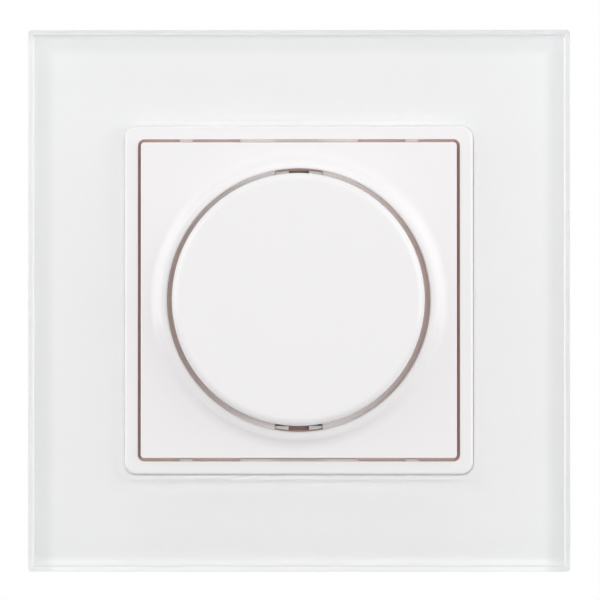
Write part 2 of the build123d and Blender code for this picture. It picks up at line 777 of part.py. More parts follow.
# Module rear half: a box with cut corners, screw bosses, board posts, wire entries, driver holes and vents
with BuildPart() as module_rear:
    with BuildSketch(Plane.XZ.offset(housing_back)) as housing_outline:
        Rectangle(housing_side, housing_side)
        chamfer(housing_outline.vertices(), housing_corner_cut)
    extrude(amount=housing_depth)
    fillet(module_rear.faces().sort_by(Axis.Y)[-1].edges(), housing_edge)
    with BuildSketch(Plane.XZ.offset(housing_floor)) as housing_inside:
        Rectangle(housing_inner_side, housing_inner_side)
        chamfer(housing_inside.vertices(), housing_corner_cut - housing_wall * (2 - sqrt(2)))
        with Locations(screw_points):
            Circle(boss_radius, mode=Mode.SUBTRACT)
    extrude(amount=housing_depth - housing_wall, mode=Mode.SUBTRACT)
    with BuildSketch(Plane.XZ.offset(housing_floor - housing_wall / 2)):
        with Locations(board_screw_points):
            Circle(board_post_radius)
    extrude(amount=board_back - housing_floor + housing_wall / 2)
    pilot_end = screw_seat - housing_screw_length - 2 * screw_hole_gap
    with BuildSketch(Plane.XZ.offset(pilot_end)):
        with Locations(screw_points):
            Circle(housing_screw_radius + pilot_gap)
    extrude(amount=-pilot_end, mode=Mode.SUBTRACT)
    board_pilot_end = board_front - board_screw_length - 2 * screw_hole_gap
    with BuildSketch(Plane.XZ.offset(board_pilot_end)):
        with Locations(board_screw_points):
            Circle(board_screw_radius + pilot_gap)
    extrude(amount=board_back - board_pilot_end, mode=Mode.SUBTRACT)
    with BuildSketch(Plane.XZ.offset(housing_back)):
        with Locations(pole_points):
            Circle(driver_hole_radius)
    extrude(amount=housing_wall, mode=Mode.SUBTRACT)
    with BuildSketch(Plane.XY.offset(-housing_side / 2)):
        with Locations([(column, -wire_height) for column in pole_columns]):
            Rectangle(wire_entry, wire_entry)
    extrude(amount=housing_wall, mode=Mode.SUBTRACT)
    with BuildSketch(Plane.XY.offset(housing_side / 2)):
        with Locations((0, housing_depth / 2)):
            with GridLocations(vent_pitch, 0, vent_count, 1):
                SlotOverall(vent_length, vent_width, rotation=90)
    extrude(amount=-housing_wall, mode=Mode.SUBTRACT)
module_rear.part.label = "module_rear"
export_step(module_rear.part, "parts/module_rear.step")

# Four screws, sunk in the module's front half, through the support plate into the rear half
with BuildPart() as housing_screws:
    with BuildSketch(Plane.XZ.offset(screw_seat - housing_screw_length)):
        with Locations(screw_points):
            Circle(housing_screw_radius)
    extrude(amount=housing_screw_length)
    with BuildSketch(Plane.XZ.offset(screw_seat)):
        with Locations(screw_points):
            Circle(housing_screw_head_radius)
    extrude(amount=housing_screw_head)
    with BuildSketch(Plane.XZ.offset(screw_seat + housing_screw_head - recess_depth)):
        with Locations(screw_points):
            Rectangle(2 * recess_share * housing_screw_head_radius, recess_width)
            Rectangle(recess_width, 2 * recess_share * housing_screw_head_radius)
    extrude(amount=recess_depth, mode=Mode.SUBTRACT)
housing_screws.part.label = "housing_screws"
export_step(housing_screws.part, "parts/housing_screws.step")

# Control board: corners cut clear of the screw bosses, holes for the encoder, terminals and screws
with BuildPart() as control_board:
    with BuildSketch(Plane.XZ.offset(board_back)) as board_outline:
        Rectangle(board_side, board_side)
        chamfer(board_outline.vertices(), board_corner_cut)
        with Locations(board_screw_points):
            Circle(board_screw_radius + screw_hole_gap, mode=Mode.SUBTRACT)
        with Locations(pole_points):
            Rectangle(cage_pin + screw_hole_gap, cage_pin + screw_hole_gap, mode=Mode.SUBTRACT)
        with Locations((-leg_middle, 0), (leg_middle, 0)):
            Rectangle(bracket_sheet + screw_hole_gap, bracket_lug + screw_hole_gap, mode=Mode.SUBTRACT)
        pin_row = encoder_side / 2 + pin_reach - pin_sheet / 2
        with Locations([(column, side * pin_row) for column, side in pin_points]):
            Rectangle(pin_width + screw_hole_gap, pin_sheet + screw_hole_gap, mode=Mode.SUBTRACT)
    extrude(amount=board_thickness)
control_board.part.label = "control_board"
export_step(control_board.part, "parts/control_board.step")

# Two screws that hold the board on its posts
with BuildPart() as board_screws:
    with BuildSketch(Plane.XZ.offset(board_front - board_screw_length)):
        with Locations(board_screw_points):
            Circle(board_screw_radius)
    extrude(amount=board_screw_length)
    with BuildSketch(Plane.XZ.offset(board_front)):
        with Locations(board_screw_points):
            Circle(board_screw_head_radius)
    extrude(amount=board_screw_head)
    with BuildSketch(Plane.XZ.offset(board_front + board_screw_head - recess_depth)):
        with Locations(board_screw_points):
            Rectangle(2 * recess_share * board_screw_head_radius, recess_width)
            Rectangle(recess_width, 2 * recess_share * board_screw_head_radius)
    extrude(amount=recess_depth, mode=Mode.SUBTRACT)
board_screws.part.label = "board_screws"
export_step(board_screws.part, "parts/board_screws.step")

# Terminal block: one well for each cage, open to the rear, with a wire entry from below
block_end = board_back - block_height
with BuildPart() as terminal_block:
    with BuildSketch(Plane.XZ.offset(block_end)):
        with Locations((0, block_centre)):
            Rectangle(pole_count * pole_pitch, block_depth)
    extrude(amount=block_height)
    with BuildSketch(Plane.XZ.offset(block_end)):
        with Locations(pole_points):
            Rectangle(cage_width + 2 * cage_gap, cage_depth + 2 * cage_gap)
    extrude(amount=cage_bottom - block_end, mode=Mode.SUBTRACT)
    with BuildSketch(Plane.XZ.offset(cage_bottom)):
        with Locations(pole_points):
            Rectangle(cage_pin + 2 * cage_gap, cage_pin + 2 * cage_gap)
    extrude(amount=board_back - cage_bottom, mode=Mode.SUBTRACT)
    with BuildSketch(Plane.XY.offset(block_centre - block_depth / 2)):
        with Locations([(column, -wire_height) for column in pole_columns]):
            Rectangle(wire_passage, wire_passage)
    extrude(amount=(block_depth - cage_depth) / 2, mode=Mode.SUBTRACT)
terminal_block.part.label = "terminal_block"
export_step(terminal_block.part, "parts/terminal_block.step")

# Terminal cages: brass boxes with a wire passage, a screw hole and a solder pin
with BuildPart() as terminal_cages:
    with BuildSketch(Plane.XZ.offset(cage_top)):
        with Locations(pole_points):
            Rectangle(cage_width, cage_depth)
    extrude(amount=cage_height)
    with BuildSketch(Plane.XY.offset(block_centre - cage_depth)):
        with Locations([(column, -wire_height) for column in pole_columns]):
            Rectangle(wire_passage, wire_passage)
    extrude(amount=2 * cage_depth, mode=Mode.SUBTRACT)
    with BuildSketch(Plane.XZ.offset(cage_top)):
        with Locations(pole_points):
            Circle(terminal_screw_radius + pilot_gap)
    extrude(amount=cage_height / 2, mode=Mode.SUBTRACT)
    with BuildSketch(Plane.XZ.offset(cage_bottom)):
        with Locations(pole_points):
            Rectangle(cage_pin, cage_pin)
    extrude(amount=board_front + cage_pin_tail - cage_bottom)
terminal_cages.part.label = "terminal_cages"
export_step(terminal_cages.part, "parts/terminal_cages.step")

# Terminal screws, with slotted heads toward the rear
with BuildPart() as terminal_screws:
    with BuildSketch(Plane.XZ.offset(cage_top)):
        with Locations(pole_points):
            Circle(terminal_screw_radius)
    extrude(amount=terminal_screw_reach)
    with BuildSketch(Plane.XZ.offset(cage_top - terminal_head)):
        with Locations(pole_points):
            Circle(terminal_head_radius)
    extrude(amount=terminal_head)
    with BuildSketch(Plane.XZ.offset(cage_top - terminal_head)):
        with Locations(pole_points):
            Rectangle(2 * terminal_head_radius + recess_width, recess_width)
    extrude(amount=recess_depth, mode=Mode.SUBTRACT)
terminal_screws.part.label = "terminal_screws"
export_step(terminal_screws.part, "parts/terminal_screws.step")

# Radio board and its metal shield, at the top of the control board
radio_centre = board_side / 2 - radio_edge_gap - radio_depth / 2
with BuildPart() as radio_board:
    with BuildSketch(Plane.XZ.offset(board_back - radio_thickness)):
        with Locations((0, radio_centre)):
            Rectangle(radio_width, radio_depth)
    extrude(amount=radio_thickness)
radio_board.part.label = "radio_board"
export_step(radio_board.part, "parts/radio_board.step")

with BuildPart() as radio_shield:
    with BuildSketch(Plane.XZ.offset(board_back - radio_thickness - shield_height)):
        with Locations((0, radio_centre)):
            RectangleRounded(shield_width, shield_depth, shield_height / 2)
    extrude(amount=shield_height)
radio_shield.part.label = "radio_shield"
export_step(radio_shield.part, "parts/radio_shield.step")

# Power converter block and its smoothing capacitor
with BuildPart() as power_converter:
    with BuildSketch(Plane.XZ.offset(board_back - converter_height)):
        with Locations((converter_x, converter_z)):
            Rectangle(converter_side, converter_side)
    extrude(amount=converter_height)
    chamfer(power_converter.faces().sort_by(Axis.Y)[-1].edges(), converter_chamfer)
power_converter.part.label = "power_converter"
export_step(power_converter.part, "parts/power_converter.step")

with BuildPart() as capacitor:
    with BuildSketch(Plane.XZ.offset(board_back - capacitor_height)):
        with Locations((capacitor_x, capacitor_z)):
            Circle(capacitor_radius)
    extrude(amount=capacitor_height)
    chamfer(capacitor.faces().sort_by(Axis.Y)[-1].edges(), capacitor_chamfer)
capacitor.part.label = "capacitor"
export_step(capacitor.part, "parts/capacitor.step")
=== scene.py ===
"""Looks of the rotary control panel: glass frame, glossy plastic front, plated hardware and the module."""

import json
from math import acos, atan2, cos, pi, radians, sin, tau

import bmesh
import bpy
from mathutils import Matrix, Vector


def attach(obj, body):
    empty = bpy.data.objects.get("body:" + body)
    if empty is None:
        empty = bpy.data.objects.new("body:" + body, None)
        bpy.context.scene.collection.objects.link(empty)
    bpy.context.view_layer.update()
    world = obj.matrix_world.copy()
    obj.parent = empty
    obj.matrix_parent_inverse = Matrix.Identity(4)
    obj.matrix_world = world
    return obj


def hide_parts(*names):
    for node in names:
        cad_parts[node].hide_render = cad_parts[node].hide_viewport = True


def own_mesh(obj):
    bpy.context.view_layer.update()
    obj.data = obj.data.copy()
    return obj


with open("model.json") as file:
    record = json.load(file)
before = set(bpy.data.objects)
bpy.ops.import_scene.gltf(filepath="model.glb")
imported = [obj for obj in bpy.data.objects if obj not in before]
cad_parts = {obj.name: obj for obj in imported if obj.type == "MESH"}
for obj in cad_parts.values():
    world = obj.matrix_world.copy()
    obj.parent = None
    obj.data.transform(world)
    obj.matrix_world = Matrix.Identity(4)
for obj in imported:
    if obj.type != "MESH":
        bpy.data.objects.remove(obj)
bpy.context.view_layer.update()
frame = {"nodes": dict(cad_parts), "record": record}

mm = 0.001

# Heights toward the room, in millimetres from the wall plane
glass_back = 5.62
glass_front = 9.6
bezel_base = 5.2
bezel_front = 10.7
plate_front = 11.6
collar_crest = 12.7
knob_front = 17.8
panel_front = 4.9
skirt_end = 1.4
flange_top = 8.4
ledge_top = 10.2
ledge_bottom = 9.4

# Glass frame, in millimetres and degrees
frame_side = 86.0
frame_corner_cut = 0.35
frame_bevel = 0.9
bevel_corner_cut = 0.1
opening_side = 55.45
opening_corner = 2.0
opening_bevel = 0.68
arris = 0.09
arris_angle = 22.5

# Bezel ring, in millimetres
bezel_side = 55.2
bezel_corner = 1.9
bezel_opening = 51.0
bezel_inner_corner = 1.0
bezel_edge = 0.5
bezel_inner_edge = 0.12
bezel_skirt_side = 52.6
flange_width = 1.0
flange_thickness = 1.0
flange_edge = 0.1
rib_places = ((-17.9, 2.1), (0.0, 18.7), (17.9, 2.1))
rib_height = 0.35
rib_top = 9.4
rib_root = 0.3
leg_width = 5.0
leg_offset = 10.0
leg_reach = 1.3
leg_root = 1.0
leg_barb = 0.6
leg_barb_gap = 0.15

# Centre plate, in millimetres
plate_side = 50.0
plate_corner = 0.55
plate_edge = 0.15
plate_rear_edge = 0.1
plate_rim = 3.0
plate_thickness = 1.6
plate_skirt_side = 48.4
plate_skirt_corner = 0.2
plate_inner_side = 46.0
plate_inner_corner = 0.3
collar_foot_radius = 23.9
collar_foot_margin = 0.4
collar_edge = 0.4
collar_flat = 0.2
collar_crest_share = 0.36
knob_hole_radius = 20.8
well_radius = 22.0
well_end = 5.2
ledge_radius = 18.8
ledge_edge = 0.1
window_width = 7.5
window_wall = 0.3
window_overrun = 2.0
ledge_overrun = 0.2
barb_slot_start = 8.3
barb_slot_overrun = 1.0

# Knob, in millimetres
knob_radius = 19.9
knob_edge = 1.2
knob_inner_radius = 18.3
knob_underside = 16.0
knob_fillet = 0.3
knob_skirt_end = 11.4
rim_edge = 0.2
rim_edge_middle = 0.06
hub_radius = 5.0
hub_end = 10.5
bore_radius = 3.03
bore_flat = 1.53
bore_end = 15.63
hub_slit = 0.8
hub_slit_depth = 2.6
hub_overrun = 0.5
knob_rib = 1.0
knob_rib_depth = 3.0
knob_rib_root = 0.4
knob_rib_count = 6

# Screws: seats in millimetres, shares of the shank and head, powers of the head's curve, tilts
housing_screw_offset = 17.5
housing_seat = 3.5
board_screw_offset = 16.5
board_screw_level = 6.0
board_front = -3.4
terminal_count = 4
terminal_pitch = 5.0
terminal_level = -15.65
terminal_seat = -14.45
tip_share = 0.9
shank_top_share = 0.001
under_head_share = 0.3
head_side_power = 0.4
head_rise_power = 0.8
toward_room = pi / 2
toward_rear = -pi / 2

# Largest widths of the broken edges and the switch dome's travel, in millimetres
broken_edges = {"frame_carrier": 0.2, "support_plate": 0.12, "module_rear": 0.25, "module_front": 0.12}
dome_edge = 0.03

# How finely the pieces are drawn
corner_points = 16
half_side_points = 24
loop_points = 4 * (2 * half_side_points + corner_points)
round_steps = 6
collar_steps = 10
knob_steps = 256
knob_edge_steps = 12
bore_steps = 40
shank_columns = 25
shank_rows = 121
head_columns = 49
head_rows = 27
floor_steps = 96

# Limits for joining points in millimetres, for edges in degrees, for the glass faces as cosines
merge_distance = 0.0005
seam_distance = 0.002
solid_merge_distance = 0.001
flat_angle = 0.5
sharp_angle = 32
broken_edge_angle = 40
broken_edge_steps = 2
rear_facing = 0.9
arris_slack = 0.05


def point(across, height, up):
    """A point in metres from millimetres across, toward the room and up."""
    return Vector((across * mm, -height * mm, up * mm))


# Loops of points that the front pieces are skinned over

def square_loop(side, corner, height, cut=False):
    """One turn round a square from the middle of its right side, with round or straight-cut corners."""
    half = side / 2
    reach = half - corner
    quarter = [(half, reach * step / half_side_points) for step in range(half_side_points)]
    for step in range(corner_points + 1):
        share = step / corner_points
        if cut:
            quarter.append((half - corner * share, reach + corner * share))
        else:
            turn = share * pi / 2
            quarter.append((reach + corner * cos(turn), reach + corner * sin(turn)))
    for step in range(1, half_side_points):
        quarter.append((reach * (1 - step / half_side_points), half))
    loop = []
    for turn in range(4):
        for across, up in quarter:
            for _ in range(turn):
                across, up = -up, across
            loop.append(point(across, height, up))
    return loop


def circle_loop(radius, height):
    """One turn round a circle, with as many points as a square loop."""
    turns = [tau * step / loop_points for step in range(loop_points)]
    return [point(radius * cos(turn), height, radius * sin(turn)) for turn in turns]


def quarter_round(radius, steps=round_steps):
    """Pairs of inset and rise on a rounded edge, from a wall to the face that it meets."""
    turns = [pi / 2 * step / steps for step in range(steps + 1)]
    return [(radius * (1 - cos(turn)), radius * sin(turn)) for turn in turns]


def square_outer_edge(side, corner, height, radius):
    """Loops of a rounded outer edge, from the wall up to the face at that height."""
    return [
        square_loop(side - 2 * inset, corner - inset, height - radius + rise)
        for inset, rise in quarter_round(radius)
    ]


def square_inner_edge(side, corner, height, radius):
    """Loops of a rounded opening edge, from the face at that height down into the wall."""
    return [
        square_loop(side + 2 * inset, corner + inset, height - radius + rise)
        for inset, rise in reversed(quarter_round(radius))
    ]


# Meshes

def new_piece(name, mesh):
    piece = bpy.data.objects.new(name, mesh)
    bpy.context.scene.collection.objects.link(piece)
    return piece


def drawn_piece(name, points, faces=()):
    """A piece from its points in metres and its faces."""
    mesh = bpy.data.meshes.new(name)
    mesh.from_pydata(points, [], faces)
    return new_piece(name, mesh)


def face_outward(piece):
    """Merges doubled points and turns every face of a closed skin outward."""
    skin = bmesh.new()
    skin.from_mesh(piece.data)
    bmesh.ops.remove_doubles(skin, verts=skin.verts, dist=merge_distance * mm)
    bmesh.ops.recalc_face_normals(skin, faces=skin.faces)
    skin.to_mesh(piece.data)
    skin.free()


def ring_skin(name, loops):
    """A closed ring: every loop is joined to the next, and the last to the first."""
    points = [place for loop in loops for place in loop]
    faces = []
    for row in range(len(loops)):
        start = row * loop_points
        following = (row + 1) % len(loops) * loop_points
        for step in range(loop_points):
            beside = (step + 1) % loop_points
            faces.append((start + step, start + beside, following + beside, following + step))
    piece = drawn_piece(name, points, faces)
    face_outward(piece)
    return piece


def solid_between(name, first, second):
    """A straight solid between two outlines of as many points."""
    count = len(first)
    faces = [tuple(range(count)), tuple(range(count, 2 * count))]
    for step in range(count):
        beside = (step + 1) % count
        faces.append((step, beside, count + beside, count + step))
    piece = drawn_piece(name, first + second, faces)
    face_outward(piece)
    return piece


def prism(name, outline, low, high):
    """A straight prism: an outline of (across, height) pairs, from one level to another."""
    ends = [[point(across, height, level) for across, height in outline] for level in (low, high)]
    return solid_between(name, *ends)


def block(name, left, right, back, front, low, high):
    """A box between millimetre limits: across, toward the room and up."""
    return prism(name, [(left, back), (right, back), (right, front), (left, front)], low, high)


def settle(piece):
    """Turns a piece's live modifiers into plain mesh."""
    bpy.context.view_layer.update()
    graph = bpy.context.evaluated_depsgraph_get()
    made = bpy.data.meshes.new_from_object(piece.evaluated_get(graph))
    piece.modifiers.clear()
    piece.data = made


def smooth(piece):
    """Smooth shading that breaks at sharp edges and keeps wide flat faces flat."""
    piece.data.shade_smooth()
    piece.data.set_sharp_from_angle(angle=radians(sharp_angle))
    weighted = piece.modifiers.new("flat_faces", "WEIGHTED_NORMAL")
    weighted.keep_sharp = True
    settle(piece)


def combine(piece, tools, operation):
    """Joins tools to a piece, or cuts them out of it, one after another."""
    for tool in tools:
        modifier = piece.modifiers.new(operation, "BOOLEAN")
        modifier.operation = operation
        modifier.solver = "EXACT"
        modifier.object = tool
        settle(piece)
        bpy.data.objects.remove(tool)


# Node trees

def feed(tree, socket, value):
    """Sets a socket to a number or colour, or links another node's output to it."""
    if isinstance(value, bpy.types.NodeSocket):
        tree.links.new(value, socket)
    else:
        socket.default_value = value


def add_node(tree, kind, inputs=(), **settings):
    """A new node with its settings, and with its inputs set or linked by name."""
    node = tree.nodes.new(kind)
    for name, value in settings.items():
        setattr(node, name, value)
    for name, value in dict(inputs).items():
        feed(tree, node.inputs[name], value)
    return node


def calculate(tree, operation, *values):
    node = add_node(tree, "ShaderNodeMath", operation=operation)
    for socket, value in zip(node.inputs, values):
        feed(tree, socket, value)
    return node.outputs[0]


def span(tree, value, start, end, low=0.0, high=1.0, smooth_step=False):
    """Maps a value between start and end to low and high, clamped."""
    limits = {"Value": value, "From Min": start, "From Max": end, "To Min": low, "To Max": high}
    node = add_node(tree, "ShaderNodeMapRange", limits)
    if smooth_step:
        node.interpolation_type = "SMOOTHSTEP"
    return node.outputs["Result"]


def apart(tree, place):
    """The three coordinates of a place, each by itself."""
    return tuple(add_node(tree, "ShaderNodeSeparateXYZ", {"Vector": place}).outputs)


def vector(tree, x=0.0, y=0.0, z=0.0):
    """A vector from three numbers or outputs of nodes."""
    return add_node(tree, "ShaderNodeCombineXYZ", {"X": x, "Y": y, "Z": z}).outputs[0]


# Geometry Nodes trees for turned and threaded pieces

def tree_inputs(tree, sizes):
    """Adds named float inputs to a tree and gives its group input node."""
    tree.interface.new_socket("Geometry", in_out="INPUT", socket_type="NodeSocketGeometry")
    for name in sizes:
        tree.interface.new_socket(name, in_out="INPUT", socket_type="NodeSocketFloat")
    tree.interface.new_socket("Finish", in_out="INPUT", socket_type="NodeSocketMaterial")
    tree.interface.new_socket("Geometry", in_out="OUTPUT", socket_type="NodeSocketGeometry")
    return add_node(tree, "NodeGroupInput")


def tree_output(tree, group, geometry):
    """Realizes what a tree has made, gives it its finish and ends the tree."""
    realize = add_node(tree, "GeometryNodeRealizeInstances", {"Geometry": geometry})
    dressing = {"Geometry": realize.outputs[0], "Material": group.outputs["Finish"]}
    dressed = add_node(tree, "GeometryNodeSetMaterial", dressing)
    add_node(tree, "NodeGroupOutput", {"Geometry": dressed.outputs["Geometry"]})


def run_tree(piece, tree, values):
    """Runs a tree on a piece with its inputs set by name, and keeps the result as plain mesh."""
    modifier = piece.modifiers.new(tree.name, "NODES")
    modifier.node_group = tree
    for item in tree.interface.items_tree:
        if item.in_out == "INPUT" and item.name in values:
            modifier[item.identifier] = values[item.name]
    settle(piece)
    face_outward(piece)


def turned_skin(tree, columns, rows, radius_height):
    """A grid wrapped round the Z axis; radius_height maps turn and row share to a radius and a height."""
    measures = {"Size X": 1.0, "Size Y": 1.0, "Vertices X": columns, "Vertices Y": rows}
    grid = add_node(tree, "GeometryNodeMeshGrid", measures)
    round_grid, along_grid, _ = apart(tree, add_node(tree, "GeometryNodeInputPosition").outputs[0])
    turn = calculate(tree, "ADD", round_grid, 0.5)
    share = calculate(tree, "ADD", along_grid, 0.5)
    radius, height = radius_height(turn, share)
    angle = calculate(tree, "MULTIPLY", turn, tau)
    across = calculate(tree, "MULTIPLY", radius, calculate(tree, "COSINE", angle))
    along = calculate(tree, "MULTIPLY", radius, calculate(tree, "SINE", angle))
    place = vector(tree, across, along, height)
    wrap = add_node(tree, "GeometryNodeSetPosition", {"Geometry": grid.outputs["Mesh"], "Position": place})
    seam = {"Geometry": wrap.outputs["Geometry"], "Distance": seam_distance * mm}
    return add_node(tree, "GeometryNodeMergeByDistance", seam).outputs["Geometry"]


def screw_tree():
    """Threaded screws with a domed head and a recess, one on each point, heads along +Z before the tilt."""
    tree = bpy.data.node_groups.new("threaded_screws", "GeometryNodeTree")
    sizes = (
        "Head radius", "Head height", "Shank radius", "Shank length", "Thread pitch", "Thread depth",
        "Recess width", "Recess length", "Cross length", "Recess depth", "Tilt",
    )
    group = tree_inputs(tree, sizes)
    size = group.outputs

    def shank(turn, share):
        height = calculate(tree, "MULTIPLY", share, calculate(tree, "MULTIPLY", size["Shank length"], -1.0))
        climb = calculate(tree, "ADD", calculate(tree, "DIVIDE", height, size["Thread pitch"]), turn)
        flank = calculate(tree, "PINGPONG", climb, 0.5)
        groove = calculate(tree, "MULTIPLY", calculate(tree, "MULTIPLY", flank, 2.0), size["Thread depth"])
        crest = calculate(tree, "SUBTRACT", size["Shank radius"], groove)
        tip = span(tree, share, tip_share, 1.0, 1.0, 0.0)
        top = calculate(tree, "GREATER_THAN", share, shank_top_share)
        return calculate(tree, "MULTIPLY", calculate(tree, "MULTIPLY", crest, tip), top), height

    def head(_, share):
        dome = calculate(tree, "MULTIPLY", span(tree, share, under_head_share, 1.0), pi / 2)
        under = span(tree, share, 0.0, under_head_share)
        narrowing = calculate(tree, "MAXIMUM", calculate(tree, "COSINE", dome), 0.0)
        side = calculate(tree, "POWER", narrowing, head_side_power)
        rise = calculate(tree, "POWER", calculate(tree, "SINE", dome), head_rise_power)
        radius = calculate(tree, "MULTIPLY", calculate(tree, "MULTIPLY", under, side), size["Head radius"])
        return radius, calculate(tree, "MULTIPLY", rise, size["Head height"])

    shank_skin = turned_skin(tree, shank_columns, shank_rows, shank)
    head_skin = turned_skin(tree, head_columns, head_rows, head)
    recess = add_node(tree, "GeometryNodeMeshBoolean", operation="DIFFERENCE", solver="EXACT")
    tree.links.new(head_skin, recess.inputs["Mesh 1"])
    for long_side, wide_side in (("Recess length", "Recess width"), ("Recess width", "Cross length")):
        depth = calculate(tree, "MULTIPLY", size["Recess depth"], 2.0)
        measure = vector(tree, size[long_side], size[wide_side], depth)
        bar = add_node(tree, "GeometryNodeMeshCube", {"Size": measure})
        lift = vector(tree, z=size["Head height"])
        raised = {"Geometry": bar.outputs["Mesh"], "Translation": lift}
        shift = add_node(tree, "GeometryNodeTransform", raised)
        tree.links.new(shift.outputs["Geometry"], recess.inputs["Mesh 2"])
    whole = add_node(tree, "GeometryNodeJoinGeometry")
    tree.links.new(shank_skin, whole.inputs[0])
    tree.links.new(recess.outputs["Mesh"], whole.inputs[0])
    tilt = vector(tree, x=size["Tilt"])
    turned = add_node(tree, "GeometryNodeTransform", {"Geometry": whole.outputs[0], "Rotation": tilt})
    places = {"Points": size["Geometry"], "Instance": turned.outputs["Geometry"]}
    spread = add_node(tree, "GeometryNodeInstanceOnPoints", places)
    tree_output(tree, group, spread.outputs["Instances"])
    return tree


def turned_tree():
    """A turned piece: the points of the piece are its half profile, radius along X and height along Y."""
    tree = bpy.data.node_groups.new("turned_piece", "GeometryNodeTree")
    group = tree_inputs(tree, ("Steps",))
    profile = group.outputs["Geometry"]
    rows = add_node(tree, "GeometryNodeAttributeDomainSize", {"Geometry": profile}).outputs["Point Count"]
    place = add_node(tree, "GeometryNodeInputPosition").outputs[0]
    index = add_node(tree, "GeometryNodeInputIndex").outputs[0]
    sample = {"Geometry": profile, "Value": place, "Index": calculate(tree, "MODULO", index, rows)}
    pick = add_node(tree, "GeometryNodeSampleIndex", sample, data_type="FLOAT_VECTOR", domain="POINT")
    radius, height, _ = apart(tree, pick.outputs["Value"])
    columns = calculate(tree, "ADD", group.outputs["Steps"], 1.0)
    skin = turned_skin(tree, columns, rows, lambda *_: (radius, height))
    upright = add_node(tree, "GeometryNodeTransform", {"Geometry": skin, "Rotation": (pi / 2, 0.0, 0.0)})
    tree_output(tree, group, upright.outputs["Geometry"])
    return tree


# Colours
white = (0.857, 0.842, 0.849)
mottled_white = tuple(0.985 * value for value in white)
# Painted shade: brown tones for surfaces deep in the gaps and the well, with browner ones for the sides
painted_gap_shade = (0.83, 0.675, 0.62)
painted_gap_side_shade = (0.75, 0.545, 0.475)
painted_well_shade = (0.965, 0.925, 0.915)
painted_well_side_shade = (0.87, 0.73, 0.68)
painted_deep_shade = (0.66, 0.5, 0.45)
# Painted shade at the well's windows
painted_window_shade = (0.5, 0.33, 0.28)
# Painted shade for the module's arms deep in the knob's gap
painted_arm_shade = (0.62, 0.48, 0.44)
arm_light = (0.94, 0.93, 0.9)
arm_dark = (0.92, 0.91, 0.88)
glass_middle = (0.99, 0.995, 0.993)
glass_edge = (0.968, 0.98, 0.978)
# Ground line colour, partly painted shade for the dark line at the bevel
ground_and_shaded_line = ((0.84, 0.855, 0.86), (0.9, 0.91, 0.915))
# Painted shade: the ground line's darker colour along the top
top_shaded_ground = ((0.56, 0.58, 0.6), (0.64, 0.66, 0.67))
upper_paint = ((0.982, 0.982, 0.984), (0.977, 0.977, 0.979))
# Painted light: the paint's colour toward the bottom, lighter than above
paint_with_lower_light = ((0.993, 0.993, 0.994), (0.99, 0.99, 0.991))
# Painted shade round the glass opening
opening_painted_shade = (0.95, 0.95, 0.952)
# Painted shade along the top and side borders of the glass
border_painted_shade = (0.906, 0.908, 0.911)
sheet_tones = ((0.5, 0.51, 0.51), (0.7, 0.7, 0.68))
turned_tones = ((0.62, 0.62, 0.62), (0.78, 0.78, 0.77))
foam_tones = ((0.72, 0.72, 0.7), (0.86, 0.86, 0.84))
mask_tones = ((0.03, 0.16, 0.075), (0.06, 0.27, 0.13))
sleeve_tones = ((0.02, 0.022, 0.04), (0.03, 0.032, 0.055))
stripe_colour = (0.3, 0.32, 0.36)
black = (0.0, 0.0, 0.0, 1.0)
full_white = (1.0, 1.0, 1.0, 1.0)

# Painted shade in the gaps, the well and on the module's arms: where each shade starts and is full, as
# heights toward the room in millimetres, with their colours
bezel_painted_shades = [(9.9, 8.7, painted_gap_shade, painted_gap_side_shade), (8.2, 7.8, white, white)]
plate_painted_shades = [
    (11.3, 10.0, painted_well_shade, painted_well_side_shade),
    (9.7, 9.0, painted_deep_shade, painted_deep_shade),
    (7.0, 6.0, white, white),
]
knob_painted_shades = [(12.8, 11.6, painted_well_shade, painted_well_side_shade)]
painted_arm_shades = [(9.6, 8.8, painted_arm_shade), (7.7, 7.3, arm_dark)]
# Painted window shade: heights where it starts and is full
painted_window_shade_start = 10.6
painted_window_shade_full = 10.25

# Other places where finishes and their painted light and shade change, in millimetres from the middle
side_blend = 16.0
window_feather = 0.05
green_start = 39.5
green_full = 43.0
top_shaded_start = 41.5
top_shaded_full = 42.0
lower_light_full = -40.0
opening_shade_start = 31.2
opening_shade_full = 28.6
opening_shade_blend = 2.0
border_shade_start = 38.2
border_shade_full = 40.5
stripe_start = -4.0
stripe_full = -4.2

# Shares in the finishes
noise_low = 0.3
noise_high = 0.7
opening_shade_side_share = 0.35
shine_share = 0.6
stripe_feather = 1.1
plastic_swing = 0.05
metal_swing = 0.07


# Finishes

def finish(name, **settings):
    """A new material with its constant shader settings, its tree and its shader."""
    material = bpy.data.materials.new(name)
    material.use_nodes = True
    shader = material.node_tree.nodes["Principled BSDF"]
    for socket, value in settings.items():
        shader.inputs[socket.replace("_", " ")].default_value = value
    return material, material.node_tree, shader


def own_place(tree):
    """The piece's own coordinates."""
    return add_node(tree, "ShaderNodeTexCoord").outputs["Object"]


def grain(tree, place, size, detail=2.0, stretch=(1.0, 1.0, 1.0)):
    """Noise with features of about that size in millimetres."""
    mapping = add_node(tree, "ShaderNodeMapping", {"Vector": place, "Scale": stretch})
    noise = {"Vector": mapping.outputs[0], "Scale": 1.0 / (size * mm), "Detail": detail}
    return add_node(tree, "ShaderNodeTexNoise", noise).outputs["Fac"]


def cells(tree, place, size):
    """Distance from the middles of cells of about that size in millimetres."""
    pattern = {"Vector": place, "Scale": 1.0 / (size * mm)}
    return add_node(tree, "ShaderNodeTexVoronoi", pattern).outputs["Distance"]


def tone(tree, factor, first, second):
    """A colour between two, by a factor."""
    mix = {"Factor": factor}
    for name, colour in (("A", first), ("B", second)):
        mix[name] = colour if isinstance(colour, bpy.types.NodeSocket) else (*colour, 1.0)
    return add_node(tree, "ShaderNodeMix", mix, data_type="RGBA").outputs["Result"]


def colour_shader(tree, shader, colour):
    feed(tree, shader.inputs["Base Color"], colour)


